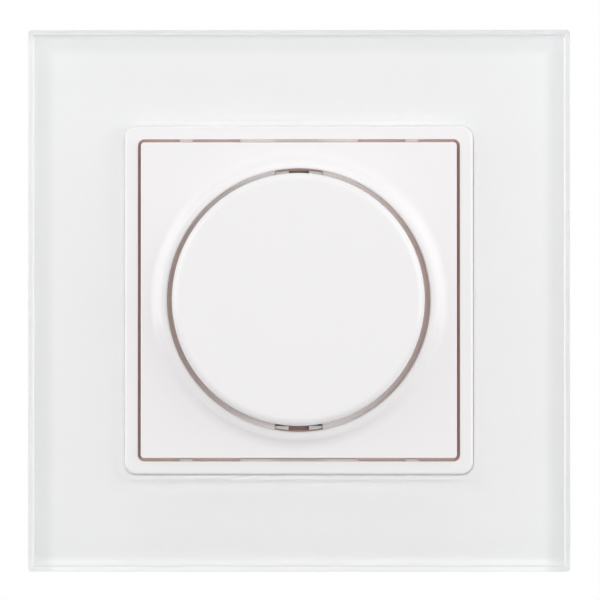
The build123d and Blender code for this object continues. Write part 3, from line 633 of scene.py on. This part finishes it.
def roughen(tree, shader, noise, low, high):
    """Roughness that follows a noise from low to high."""
    feed(tree, shader.inputs["Roughness"], span(tree, noise, noise_low, noise_high, low, high))


def relief(tree, shader, height, strength, depth):
    """Bump from a height, with its depth in millimetres."""
    bump = {"Strength": strength, "Distance": depth * mm, "Height": height}
    feed(tree, shader.inputs["Normal"], add_node(tree, "ShaderNodeBump", bump).outputs["Normal"])


def shaded(tree, back, colour, shades):
    """A colour that turns to each given colour in turn, from one height down to another: painted shade deep
    in a gap, and the plain colour again where one is given below it.
    """
    for start, end, shade in shades:
        deep = span(tree, back, -start * mm, -end * mm, smooth_step=True)
        colour = tone(tree, deep, colour, shade)
    return colour


def painted_gap_shades(tree, across, up, shades):
    """Painted shades for a gap, each between a colour for the gap's upper and lower runs and one for its
    sides.
    """
    lean = calculate(tree, "SUBTRACT", calculate(tree, "ABSOLUTE", across), calculate(tree, "ABSOLUTE", up))
    beside = span(tree, lean, -side_blend * mm, side_blend * mm, smooth_step=True)
    return [(start, end, tone(tree, beside, level, side)) for start, end, level, side in shades]


def glossy_white(name, shades, window=0.0):
    """Glossy white plastic with painted brown shade deep in its gap, and painted brown shade at windows of
    that half width.
    """
    material, tree, shader = finish(name, IOR=1.5)
    place = own_place(tree)
    across, back, up = apart(tree, place)
    cloud = grain(tree, place, size=9.0)
    mottled = tone(tree, cloud, white, mottled_white)
    # Painted shade, browner the deeper a surface lies in the gap
    colour = shaded(tree, back, mottled, painted_gap_shades(tree, across, up, shades))
    # Painted shade: brown on the ledge strip and walls beside the windows, deep in the well
    if window:
        aside = calculate(tree, "ABSOLUTE", across)
        beside = span(tree, aside, window * mm, (window + window_feather) * mm, 1.0, 0.0)
        low = span(tree, back, -painted_window_shade_start * mm, -painted_window_shade_full * mm)
        colour = tone(tree, calculate(tree, "MULTIPLY", beside, low), colour, painted_window_shade)
    colour_shader(tree, shader, colour)
    roughen(tree, shader, cloud, low=0.16, high=0.2)
    relief(tree, shader, grain(tree, place, size=0.22), strength=0.06, depth=0.02)
    return material


def clear_glass():
    """Polished clear glass, a trace greener toward its outer edge."""
    material, tree, shader = finish("clear_glass", Transmission_Weight=1.0, IOR=1.5, Roughness=0.0)
    across, _, up = apart(tree, own_place(tree))
    sideways = calculate(tree, "ABSOLUTE", across)
    upward = calculate(tree, "ABSOLUTE", up)
    edge = span(tree, calculate(tree, "MAXIMUM", sideways, upward), green_start * mm, green_full * mm)
    colour_shader(tree, shader, tone(tree, edge, glass_middle, glass_edge))
    return material


def ground_and_shaded_edge():
    """Finely ground glass where a bevel meets a face, its grey partly painted shade for the dark line at the
    edge, and darker along the top as painted shade.
    """
    material, tree, shader = finish("ground_and_shaded_edge", IOR=1.5)
    place = own_place(tree)
    _, _, up = apart(tree, place)
    speckle = grain(tree, place, size=0.3)
    fine = tone(tree, speckle, *ground_and_shaded_line)
    top_shaded = tone(tree, speckle, *top_shaded_ground)
    # Painted shade: darker ground line along the top
    top = span(tree, up, top_shaded_start * mm, top_shaded_full * mm)
    colour_shader(tree, shader, tone(tree, top, fine, top_shaded))
    roughen(tree, shader, speckle, low=0.45, high=0.6)
    return material


def back_paint():
    """White paint behind the glass, with painted light that turns it lighter toward the bottom and painted
    shade round the opening and along the top and side borders.
    """
    material, tree, shader = finish("back_paint", Roughness=0.55, Specular_IOR_Level=0.0)
    place = own_place(tree)
    across, _, up = apart(tree, place)
    cloud = grain(tree, place, size=14.0)
    upper = tone(tree, cloud, *upper_paint)
    # Painted light: the paint turns lighter toward the bottom
    lower = tone(tree, cloud, *paint_with_lower_light)
    field = tone(tree, span(tree, up, 0.0, lower_light_full * mm), upper, lower)
    beside = calculate(tree, "ABSOLUTE", across)
    upward = calculate(tree, "ABSOLUTE", up)
    farthest = calculate(tree, "MAXIMUM", beside, upward)
    # Painted shade round the opening, fullest on its upper and lower runs and lighter at its sides
    inward = span(tree, farthest, opening_shade_start * mm, opening_shade_full * mm, smooth_step=True)
    lean = calculate(tree, "SUBTRACT", upward, beside)
    level = span(tree, lean, -opening_shade_blend * mm, opening_shade_blend * mm, opening_shade_side_share, 1.0)
    opening_shaded = tone(tree, calculate(tree, "MULTIPLY", inward, level), field, opening_painted_shade)
    # Painted shade in a band along the top and side borders; the bottom border has none
    outward = calculate(tree, "MAXIMUM", beside, up)
    border = span(tree, outward, border_shade_start * mm, border_shade_full * mm, smooth_step=True)
    colour_shader(tree, shader, tone(tree, border, opening_shaded, border_painted_shade))
    return material


def moulded_plastic(name, light, dark, roughness, texture, shades=()):
    """Moulded plastic with a fine even texture of that size in millimetres, and any painted shades given, by
    height.
    """
    material, tree, shader = finish(name, IOR=1.48)
    place = own_place(tree)
    _, back, _ = apart(tree, place)
    cloud = grain(tree, place, size=6.0, detail=3.0)
    colour_shader(tree, shader, shaded(tree, back, tone(tree, cloud, light, dark), shades))
    roughen(tree, shader, cloud, roughness - plastic_swing, roughness + plastic_swing)
    relief(tree, shader, grain(tree, place, texture, detail=3.0), strength=0.3, depth=0.04)
    return material


def plated_sheet():
    """Zinc-plated sheet steel with a faint spangle and rolling lines."""
    material, tree, shader = finish("plated_sheet", Metallic=1.0)
    place = own_place(tree)
    spangle = cells(tree, place, size=3.0)
    rolling = grain(tree, place, size=1.2, detail=3.0, stretch=(0.08, 1.0, 1.0))
    shine = calculate(tree, "MULTIPLY", calculate(tree, "ADD", spangle, rolling), shine_share)
    colour_shader(tree, shader, tone(tree, shine, *sheet_tones))
    roughen(tree, shader, rolling, low=0.3, high=0.46)
    relief(tree, shader, rolling, strength=0.15, depth=0.02)
    return material


def bright_metal(name, light, dark, roughness, size, stretch=(1.0, 1.0, 1.0)):
    """Bare or plated metal with fine lines, even or along one direction."""
    material, tree, shader = finish(name, Metallic=1.0)
    lines = grain(tree, own_place(tree), size, detail=3.0, stretch=stretch)
    colour_shader(tree, shader, tone(tree, lines, dark, light))
    roughen(tree, shader, lines, roughness - metal_swing, roughness + metal_swing)
    relief(tree, shader, lines, strength=0.12, depth=0.02)
    return material


def turned_metal():
    """Turned aluminium with fine rings round the knob's axis."""
    material, tree, shader = finish("turned_metal", Metallic=1.0)
    rings = grain(tree, own_place(tree), size=0.15, stretch=(0.03, 1.0, 0.03))
    colour_shader(tree, shader, tone(tree, rings, *turned_tones))
    roughen(tree, shader, rings, low=0.22, high=0.36)
    relief(tree, shader, rings, strength=0.2, depth=0.02)
    return material


def foam_tape():
    """Off-white foam with small cells."""
    material, tree, shader = finish("foam_tape", Roughness=0.85)
    foam = cells(tree, own_place(tree), size=0.35)
    colour_shader(tree, shader, tone(tree, foam, *foam_tones))
    relief(tree, shader, foam, strength=0.5, depth=0.1)
    return material


def solder_mask(track_spacing):
    """Green circuit board with tracks that show through the mask, that many millimetres apart."""
    material, tree, shader = finish("solder_mask", Roughness=0.32, Coat_Weight=0.3, Coat_Roughness=0.12)
    across, _, up = apart(tree, own_place(tree))
    bricks = {
        "Vector": vector(tree, across, up), "Scale": 1.0 / (track_spacing * mm), "Mortar Size": 0.06,
        "Color1": black, "Color2": black, "Mortar": full_white,
    }
    tracks = add_node(tree, "ShaderNodeTexBrick", bricks).outputs["Color"]
    colour_shader(tree, shader, tone(tree, tracks, *mask_tones))
    relief(tree, shader, tracks, strength=0.3, depth=0.03)
    return material


def sleeve(middle, stripe_width):
    """Dark sleeve of the capacitor, with one paler stripe along it."""
    material, tree, shader = finish("capacitor_sleeve", Roughness=0.28)
    place = own_place(tree)
    across, _, up = apart(tree, place)
    aside = calculate(tree, "ABSOLUTE", calculate(tree, "SUBTRACT", across, middle * mm))
    stripe = span(tree, aside, stripe_width * mm, stripe_feather * stripe_width * mm, 1.0, 0.0)
    body = tone(tree, grain(tree, place, size=1.5), *sleeve_tones)
    below = span(tree, up, stripe_start * mm, stripe_full * mm)
    striped = calculate(tree, "MULTIPLY", stripe, below)
    colour_shader(tree, shader, tone(tree, striped, body, stripe_colour))
    return material


# The white pieces carry painted shade deep in their gaps
bezel_finish = glossy_white("bezel_white", bezel_painted_shades)
plate_finish = glossy_white("plate_white", plate_painted_shades, window_width / 2)
knob_finish = glossy_white("knob_white", knob_painted_shades)
glass_finish = clear_glass()
paint_finish = back_paint()
ground_and_shade_finish = ground_and_shaded_edge()
screw_finish = bright_metal(
    "zinc_screws", light=(0.72, 0.72, 0.7), dark=(0.56, 0.57, 0.58), roughness=0.32, size=0.8,
)
# Module arms: pale grey with painted shade where they sit deep in the knob's gap
arm_finish = moulded_plastic(
    "module_pale_grey", light=arm_light, dark=arm_dark, roughness=0.42, texture=0.3, shades=painted_arm_shades,
)
slot_finishes = {
    "painted_glass": glass_finish,
    "tape": foam_tape(),
    "carrier_plastic": moulded_plastic(
        "carrier_white", light=(0.85, 0.85, 0.84), dark=(0.81, 0.81, 0.8), roughness=0.5, texture=0.35,
    ),
    "white_plastic": plate_finish,
    "grey_plastic": moulded_plastic(
        "module_grey", light=(0.63, 0.64, 0.62), dark=(0.58, 0.59, 0.57), roughness=0.46, texture=0.3,
    ),
    "black_plastic": moulded_plastic(
        "encoder_black", light=(0.045, 0.045, 0.05), dark=(0.03, 0.03, 0.034), roughness=0.42, texture=0.2,
    ),
    "dark_plastic": moulded_plastic(
        "terminal_dark", light=(0.11, 0.12, 0.12), dark=(0.08, 0.09, 0.09), roughness=0.44, texture=0.25,
    ),
    "board": solder_mask(track_spacing=4.0),
    "sheet_steel": plated_sheet(),
    "spring_steel": bright_metal(
        "spring_steel", light=(0.66, 0.66, 0.65), dark=(0.5, 0.5, 0.49), roughness=0.24, size=0.5,
        stretch=(0.1, 1.0, 1.0),
    ),
    "screw_steel": screw_finish,
    "zinc": bright_metal(
        "die_cast_zinc", light=(0.6, 0.6, 0.6), dark=(0.5, 0.5, 0.5), roughness=0.42, size=0.6,
    ),
    "shaft_metal": turned_metal(),
    "brass": bright_metal(
        "terminal_brass", light=(0.78, 0.62, 0.32), dark=(0.66, 0.5, 0.24), roughness=0.3, size=0.7,
        stretch=(1.0, 0.15, 1.0),
    ),
    "can": sleeve(middle=-13.0, stripe_width=1.4),
}


# Front pieces

def outermost(place):
    """How far out a point of the frame is, in millimetres from the middle."""
    return max(abs(place.x), abs(place.z)) / mm


def glass_frame():
    """Glass frame with polished bevels, clear apart from the paint on its back and its ground lines, which
    together carry painted light and shade.
    """
    outer_bevel = glass_front - frame_bevel
    inner_bevel = glass_front - opening_bevel
    inner_side = opening_side + 2 * opening_bevel
    inner_corner = opening_corner + opening_bevel
    outer_rows = [
        (frame_side, frame_corner_cut, glass_back),
        (frame_side, frame_corner_cut, outer_bevel - arris),
        (frame_side - 2 * arris, frame_corner_cut, outer_bevel + arris),
        (frame_side - 2 * (frame_bevel - arris), bevel_corner_cut, glass_front - arris),
        (frame_side - 2 * (frame_bevel + arris), bevel_corner_cut, glass_front),
    ]
    inner_rows = [
        (inner_side + 2 * arris, inner_corner + arris, glass_front),
        (inner_side - 2 * arris, inner_corner - arris, glass_front - arris),
        (opening_side + 2 * arris, opening_corner + arris, inner_bevel + arris),
        (opening_side, opening_corner, inner_bevel - arris),
        (opening_side, opening_corner, glass_back),
    ]
    loops = [square_loop(*row, cut=True) for row in outer_rows]
    loops += [square_loop(*row) for row in inner_rows]
    piece = ring_skin("glass_pane", loops)
    for material in (glass_finish, paint_finish, ground_and_shade_finish):
        piece.data.materials.append(material)
    paint_index = 1
    ground_and_shade_index = 2
    arris_lean = cos(radians(arris_angle))
    bevel_start = frame_side / 2 - 2 * frame_bevel
    for face in piece.data.polygons:
        lean = -face.normal.y
        if lean < -rear_facing:
            face.material_index = paint_index
        elif abs(lean - arris_lean) < arris_slack and outermost(face.center) > bevel_start:
            face.material_index = ground_and_shade_index
    return piece


def bezel_ring():
    """Bezel ring with its flange and ribs in the gap, its skirt and its four barbed legs."""
    flange_opening = bezel_opening - 2 * flange_width
    flange_bottom = flange_top - flange_thickness
    loops = [square_loop(bezel_side, bezel_corner, bezel_base)]
    loops += square_outer_edge(bezel_side, bezel_corner, bezel_front, bezel_edge)
    loops += square_inner_edge(bezel_opening, bezel_inner_corner, bezel_front, bezel_inner_edge)
    loops += [square_loop(bezel_opening, bezel_inner_corner, flange_top)]
    loops += square_inner_edge(flange_opening, bezel_inner_corner, flange_top, flange_edge)
    rear_rows = [
        (flange_opening, flange_bottom),
        (bezel_opening, flange_bottom),
        (bezel_opening, skirt_end),
        (bezel_skirt_side, skirt_end),
        (bezel_skirt_side, bezel_base),
    ]
    loops += [square_loop(side, bezel_inner_corner, height) for side, height in rear_rows]
    piece = ring_skin("bezel", loops)
    wall = bezel_opening / 2
    joined = []
    for middle, width in rib_places:
        left = middle - width / 2
        right = middle + width / 2
        for low, high in ((wall - rib_height, wall + rib_root), (-wall - rib_root, rib_height - wall)):
            joined.append(block("rib", left, right, flange_top - rib_root, rib_top, low, high))
    skirt_half = bezel_skirt_side / 2
    for side in (-1, 1):
        outline = [
            (side * wall, skirt_end + leg_root),
            (side * skirt_half, skirt_end + leg_root),
            (side * skirt_half, -leg_barb_gap),
            (side * (skirt_half + leg_barb), -leg_barb_gap),
            (side * (skirt_half + leg_barb), -leg_reach / 2),
            (side * skirt_half, -leg_reach),
            (side * wall, -leg_reach),
        ]
        for level in (-leg_offset, leg_offset):
            joined.append(prism("leg", outline, level - leg_width / 2, level + leg_width / 2))
    combine(piece, joined, "UNION")
    return piece


def collar_profile():
    """The collar's S-shaped flank as radius and height pairs: its foot's arc meets its crest's arc."""
    crest_radius = knob_hole_radius + collar_edge + collar_flat
    width = collar_foot_radius - crest_radius
    slope = 2 * atan2(collar_crest - plate_front, width)
    foot_bend = (1 - collar_crest_share) * width / sin(slope)
    crest_bend = collar_crest_share * width / sin(slope)
    turns = [slope * step / collar_steps for step in range(collar_steps + 1)]
    pairs = [
        (collar_foot_radius - foot_bend * sin(turn), plate_front + foot_bend * (1 - cos(turn)))
        for turn in turns
    ]
    pairs += [
        (crest_radius + crest_bend * sin(turn), collar_crest - crest_bend * (1 - cos(turn)))
        for turn in reversed(turns[:-1])
    ]
    return pairs


def centre_plate():
    """Centre plate with its S-shaped collar, and the well whose ledge has two windows."""
    rim_base = plate_front - plate_rim
    underside = plate_front - plate_thickness
    loops = [
        square_loop(plate_skirt_side, plate_skirt_corner, panel_front),
        square_loop(plate_skirt_side, plate_skirt_corner, rim_base),
        square_loop(plate_side - 2 * plate_rear_edge, plate_corner - plate_rear_edge, rim_base),
        square_loop(plate_side, plate_corner, rim_base + plate_rear_edge),
    ]
    loops += square_outer_edge(plate_side, plate_corner, plate_front, plate_edge)
    round_rows = [(collar_foot_radius + collar_foot_margin, plate_front)]
    round_rows += collar_profile()
    round_rows += [
        (knob_hole_radius + inset, collar_crest - collar_edge + rise)
        for inset, rise in reversed(quarter_round(collar_edge))
    ]
    round_rows += [
        (knob_hole_radius, ledge_top),
        (ledge_radius + ledge_edge, ledge_top),
        (ledge_radius, ledge_top - ledge_edge),
        (ledge_radius, ledge_bottom),
        (knob_hole_radius, ledge_bottom),
        (knob_hole_radius, well_end),
        (well_radius, well_end),
        (well_radius, underside),
    ]
    loops += [circle_loop(*row) for row in round_rows]
    for height in (underside, panel_front):
        loops.append(square_loop(plate_inner_side, plate_inner_corner, height))
    piece = ring_skin("plate", loops)
    half = window_width / 2
    window_base = ledge_bottom - ledge_overrun
    window_top = ledge_top + ledge_overrun
    cuts = []
    for side in (-1, 1):
        window = sorted((side * (ledge_radius - window_overrun), side * (knob_hole_radius - window_wall)))
        slot = sorted((side * (knob_hole_radius - window_wall), side * (well_radius + barb_slot_overrun)))
        cuts.append(block("window", -half, half, window_base, window_top, *window))
        cuts.append(block("barb_slot", -half, half, barb_slot_start, ledge_bottom, *slot))
    combine(piece, cuts, "DIFFERENCE")
    return piece


def knob(tree):
    """Knob: a turned cap with rounded edges, then its ribs, its flat-sided bore and its split hub."""
    profile = [(0.0, knob_front)]
    profile += [
        (knob_radius - inset, knob_front - knob_edge + rise)
        for inset, rise in reversed(quarter_round(knob_edge, knob_edge_steps))
    ]
    profile += [
        (knob_radius, knob_skirt_end + rim_edge),
        (knob_radius - rim_edge_middle, knob_skirt_end + rim_edge_middle),
        (knob_radius - rim_edge, knob_skirt_end),
        (knob_inner_radius, knob_skirt_end),
        (knob_inner_radius, knob_underside - knob_fillet),
        (knob_inner_radius - knob_fillet, knob_underside),
        (hub_radius, knob_underside),
        (hub_radius, hub_end + rim_edge),
        (hub_radius - rim_edge, hub_end),
        (0.0, hub_end),
    ]
    piece = drawn_piece("knob_cap", [(radius * mm, height * mm, 0.0) for radius, height in profile])
    run_tree(piece, tree, {"Steps": knob_steps, "Finish": knob_finish})
    half_rib = knob_rib / 2
    rib_reach = (hub_radius - knob_rib_root, knob_inner_radius + knob_rib_root)
    rib_rise = (knob_underside - knob_rib_depth, knob_underside + knob_rib_root)
    ribs = []
    for step in range(knob_rib_count):
        rib = block("rib", *rib_reach, *rib_rise, -half_rib, half_rib)
        rib.data.transform(Matrix.Rotation(-tau * step / knob_rib_count, 4, "Y"))
        ribs.append(rib)
    combine(piece, ribs, "UNION")
    flat_turn = acos(-bore_flat / bore_radius)
    turns = [flat_turn * (2 * step / bore_steps - 1) for step in range(bore_steps + 1)]
    outline = [(bore_radius * sin(turn), -bore_radius * cos(turn)) for turn in turns]
    bore_base = hub_end - hub_overrun
    ends = [[point(across, height, up) for across, up in outline] for height in (bore_base, bore_end)]
    bore = solid_between("bore", *ends)
    slit_reach = hub_radius + half_rib
    half_slit = hub_slit / 2
    slit = block("slit", -slit_reach, slit_reach, bore_base, hub_end + hub_slit_depth, -half_slit, half_slit)
    combine(piece, [bore, slit], "DIFFERENCE")
    return piece


# Pieces that keep their CAD shape, with their edges broken, and screws

def softened(node, width):
    """A copy of a CAD node whose sharp edges are broken by up to that width in millimetres."""
    piece = new_piece(node + "_soft", frame["nodes"][node].data.copy())
    skin = bmesh.new()
    skin.from_mesh(piece.data)
    bmesh.ops.remove_doubles(skin, verts=skin.verts, dist=solid_merge_distance * mm)
    bmesh.ops.dissolve_limit(skin, angle_limit=radians(flat_angle), verts=skin.verts, edges=skin.edges)
    skin.to_mesh(piece.data)
    skin.free()
    bevel = piece.modifiers.new("broken_edges", "BEVEL")
    bevel.width = width * mm
    bevel.segments = broken_edge_steps
    bevel.limit_method = "ANGLE"
    bevel.angle_limit = radians(broken_edge_angle)
    bevel.use_clamp_overlap = True
    settle(piece)
    return piece


def screws(name, tree, seats, tilt, values):
    """A set of screws: seats are the points under their heads, tilt turns the heads to room or rear."""
    piece = drawn_piece(name, [point(*seat) for seat in seats])
    sizes = {key: value * mm for key, value in values.items()}
    run_tree(piece, tree, {**sizes, "Tilt": tilt, "Finish": screw_finish})
    return piece


def dress(piece, body, slot, *nodes):
    """Smooths a finished piece, attaches it to its body and hides the CAD nodes that it stands for; its slot
    is not used.
    """
    smooth(piece)
    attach(piece, body)
    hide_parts(*nodes)


def set_finish(piece, material):
    piece.data.materials.clear()
    piece.data.materials.append(material)


node_slots = {entry["node"]: entry["material_slot"] for entry in frame["record"]["subparts"]}
for node, slot in node_slots.items():
    set_finish(frame["nodes"][node], slot_finishes[slot])
for node, width in broken_edges.items():
    soft_piece = softened(node, width)
    set_finish(soft_piece, arm_finish if node == "module_front" else slot_finishes[node_slots[node]])
    dress(soft_piece, "panel", node_slots[node], node)

dome = softened("switch_dome", dome_edge)
set_finish(dome, slot_finishes["spring_steel"])
dress(dome, "panel", "spring_steel", "switch_dome")
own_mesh(dome)

dress(glass_frame(), "panel", "painted_glass", "glass_frame")
white_pieces = (
    (bezel_ring(), bezel_finish, "panel", "bezel_ring"),
    (centre_plate(), plate_finish, "panel", "centre_plate"),
    (knob(turned_tree()), knob_finish, "knob", "knob"),
)
for piece, material, body, node in white_pieces:
    set_finish(piece, material)
    dress(piece, body, "white_plastic", node)

offsets = (-housing_screw_offset, housing_screw_offset)
housing_seats = [(across, housing_seat, up) for across in offsets for up in offsets]
board_offsets = (-board_screw_offset, board_screw_offset)
board_seats = [(across, board_front, board_screw_level) for across in board_offsets]
terminal_offsets = [(pole - (terminal_count - 1) / 2) * terminal_pitch for pole in range(terminal_count)]
terminal_seats = [(across, terminal_seat, terminal_level) for across in terminal_offsets]
housing_sizes = {
    "Head radius": 2.1, "Head height": 1.3, "Shank radius": 1.1, "Shank length": 13.0,
    "Thread pitch": 0.8, "Thread depth": 0.2, "Recess length": 2.5, "Cross length": 2.5,
}
board_sizes = {
    "Head radius": 1.8, "Head height": 1.2, "Shank radius": 1.0, "Shank length": 6.6,
    "Thread pitch": 0.7, "Thread depth": 0.18, "Recess length": 2.1, "Cross length": 2.1,
}
terminal_sizes = {
    "Head radius": 1.8, "Head height": 1.4, "Shank radius": 1.25, "Shank length": 2.2,
    "Thread pitch": 0.6, "Thread depth": 0.18, "Recess length": 4.0, "Cross length": 0.5,
}
recess_sizes = {"Recess width": 0.6, "Recess depth": 0.6}
screw_sets = (
    ("module_screws", housing_seats, toward_room, housing_sizes, "housing_screws"),
    ("circuit_screws", board_seats, toward_room, board_sizes, "board_screws"),
    ("clamp_screws", terminal_seats, toward_rear, terminal_sizes, "terminal_screws"),
)
screw_maker = screw_tree()
for name, seats, tilt, sizes, node in screw_sets:
    screw_set = screws(name, screw_maker, seats, tilt, {**sizes, **recess_sizes})
    dress(screw_set, "panel", "screw_steel", node)


# Camera

scene = bpy.context.scene
scene.view_settings.view_transform = "Standard"
scene.cycles.max_bounces = 24
scene.cycles.diffuse_bounces = 10
scene.cycles.glossy_bounces = 12
scene.cycles.blur_glossy = 0.0

lens = bpy.data.cameras.new("front_camera")
lens.lens = 340.5
lens.sensor_width = 36.0
lens.shift_x = 0.0018
lens.shift_y = 0.0006
camera = bpy.data.objects.new("front_camera", lens)
camera.location = (0.013, -0.9091, -0.020)
face_middle = Vector((0.0, -glass_front * mm, 0.0))
camera.rotation_euler = (face_middle - camera.location).to_track_quat("-Z", "Y").to_euler()
scene.collection.objects.link(camera)
scene.camera = camera


# White studio round the panel: brightness by direction, with blends and patches as cosines

front_bright = 0.74
left_bright = 1.41
right_bright = 1.55
rear_bright = 0.8
straight_bright = 1.0
front_rear_blend = 0.05
left_right_blend = 0.1
side_level_blend = 0.15
camera_patch = (-0.93, -0.89)
straight_patch = (0.85, 0.97)


def grey(value):
    return (value, value, value)


world = bpy.data.worlds.new("white_studio")
scene.world = world
world.use_nodes = True
sky = world.node_tree
sky_direction = add_node(sky, "ShaderNodeTexCoord").outputs["Generated"]
across_sky, back_sky, up_sky = apart(sky, sky_direction)
ahead = span(sky, back_sky, front_rear_blend, -front_rear_blend, smooth_step=True)
clear_of_camera = span(sky, back_sky, *camera_patch, smooth_step=True)
sideways_sky = calculate(sky, "ABSOLUTE", across_sky)
leaning = calculate(sky, "SUBTRACT", sideways_sky, calculate(sky, "ABSOLUTE", up_sky))
beside = span(sky, leaning, -side_level_blend, side_level_blend, smooth_step=True)
rightward = span(sky, across_sky, -left_right_blend, left_right_blend, smooth_step=True)
side_tone = tone(sky, rightward, grey(left_bright), grey(right_bright))
front_tone = tone(sky, calculate(sky, "MULTIPLY", beside, clear_of_camera), grey(front_bright), side_tone)
straight_behind = span(sky, back_sky, *straight_patch, smooth_step=True)
rear_tone = tone(sky, straight_behind, grey(rear_bright), grey(straight_bright))
feed(sky, sky.nodes["Background"].inputs["Color"], tone(sky, ahead, rear_tone, front_tone))


# Lights, in metres and watts

def softbox(name, place, width, height, power, mirrored=False):
    """An area light aimed at the panel: soft light that no gloss mirrors, or a card that only gloss shows."""
    light = bpy.data.lights.new(name, "AREA")
    light.shape = "RECTANGLE"
    light.size = width
    light.size_y = height
    light.energy = power
    lamp = bpy.data.objects.new(name, light)
    lamp.location = place
    lamp.rotation_euler = (-Vector(place)).to_track_quat("-Z", "Y").to_euler()
    lamp.visible_glossy = mirrored
    lamp.visible_diffuse = not mirrored
    lamp.visible_transmission = not mirrored
    scene.collection.objects.link(lamp)


softbox("right_lamp", (0.32, -1.25, -0.04), width=0.15, height=0.15, power=2.0)
softbox("left_lamp", (-0.32, -1.25, -0.04), width=0.15, height=0.15, power=0.65)
softbox("right_softbox", (1.05, -1.15, 0.1), width=0.4, height=0.4, power=0.8)
softbox("right_edge_light", (1.6, -0.02, 0.0), width=0.3, height=0.8, power=0.4)
softbox("left_edge_light", (-1.6, -0.02, 0.0), width=0.3, height=0.8, power=1.5)
softbox("right_card", (1.11, -0.46, 0.0), width=1.53, height=1.8, power=4.0, mirrored=True)
softbox("left_card", (-1.11, -0.46, 0.0), width=1.53, height=1.8, power=9.0, mirrored=True)


# Floor, with its sizes in millimetres

floor_level = -83.0
floor_radius = 600.0
floor_grain = 120.0
floor_dark = 0.61
floor_light = 0.63
floor_turns = [tau * step / floor_steps for step in range(floor_steps)]
rim = [point(floor_radius * cos(turn), floor_radius * sin(turn), floor_level) for turn in floor_turns]
floor = drawn_piece("floor", rim, [tuple(reversed(range(floor_steps)))])
floor_paint, floor_tree, floor_shader = finish("pale_floor", Roughness=0.9, Specular_IOR_Level=0.0)
floor_cloud = grain(floor_tree, own_place(floor_tree), floor_grain)
colour_shader(floor_tree, floor_shader, tone(floor_tree, floor_cloud, grey(floor_dark), grey(floor_light)))
set_finish(floor, floor_paint)
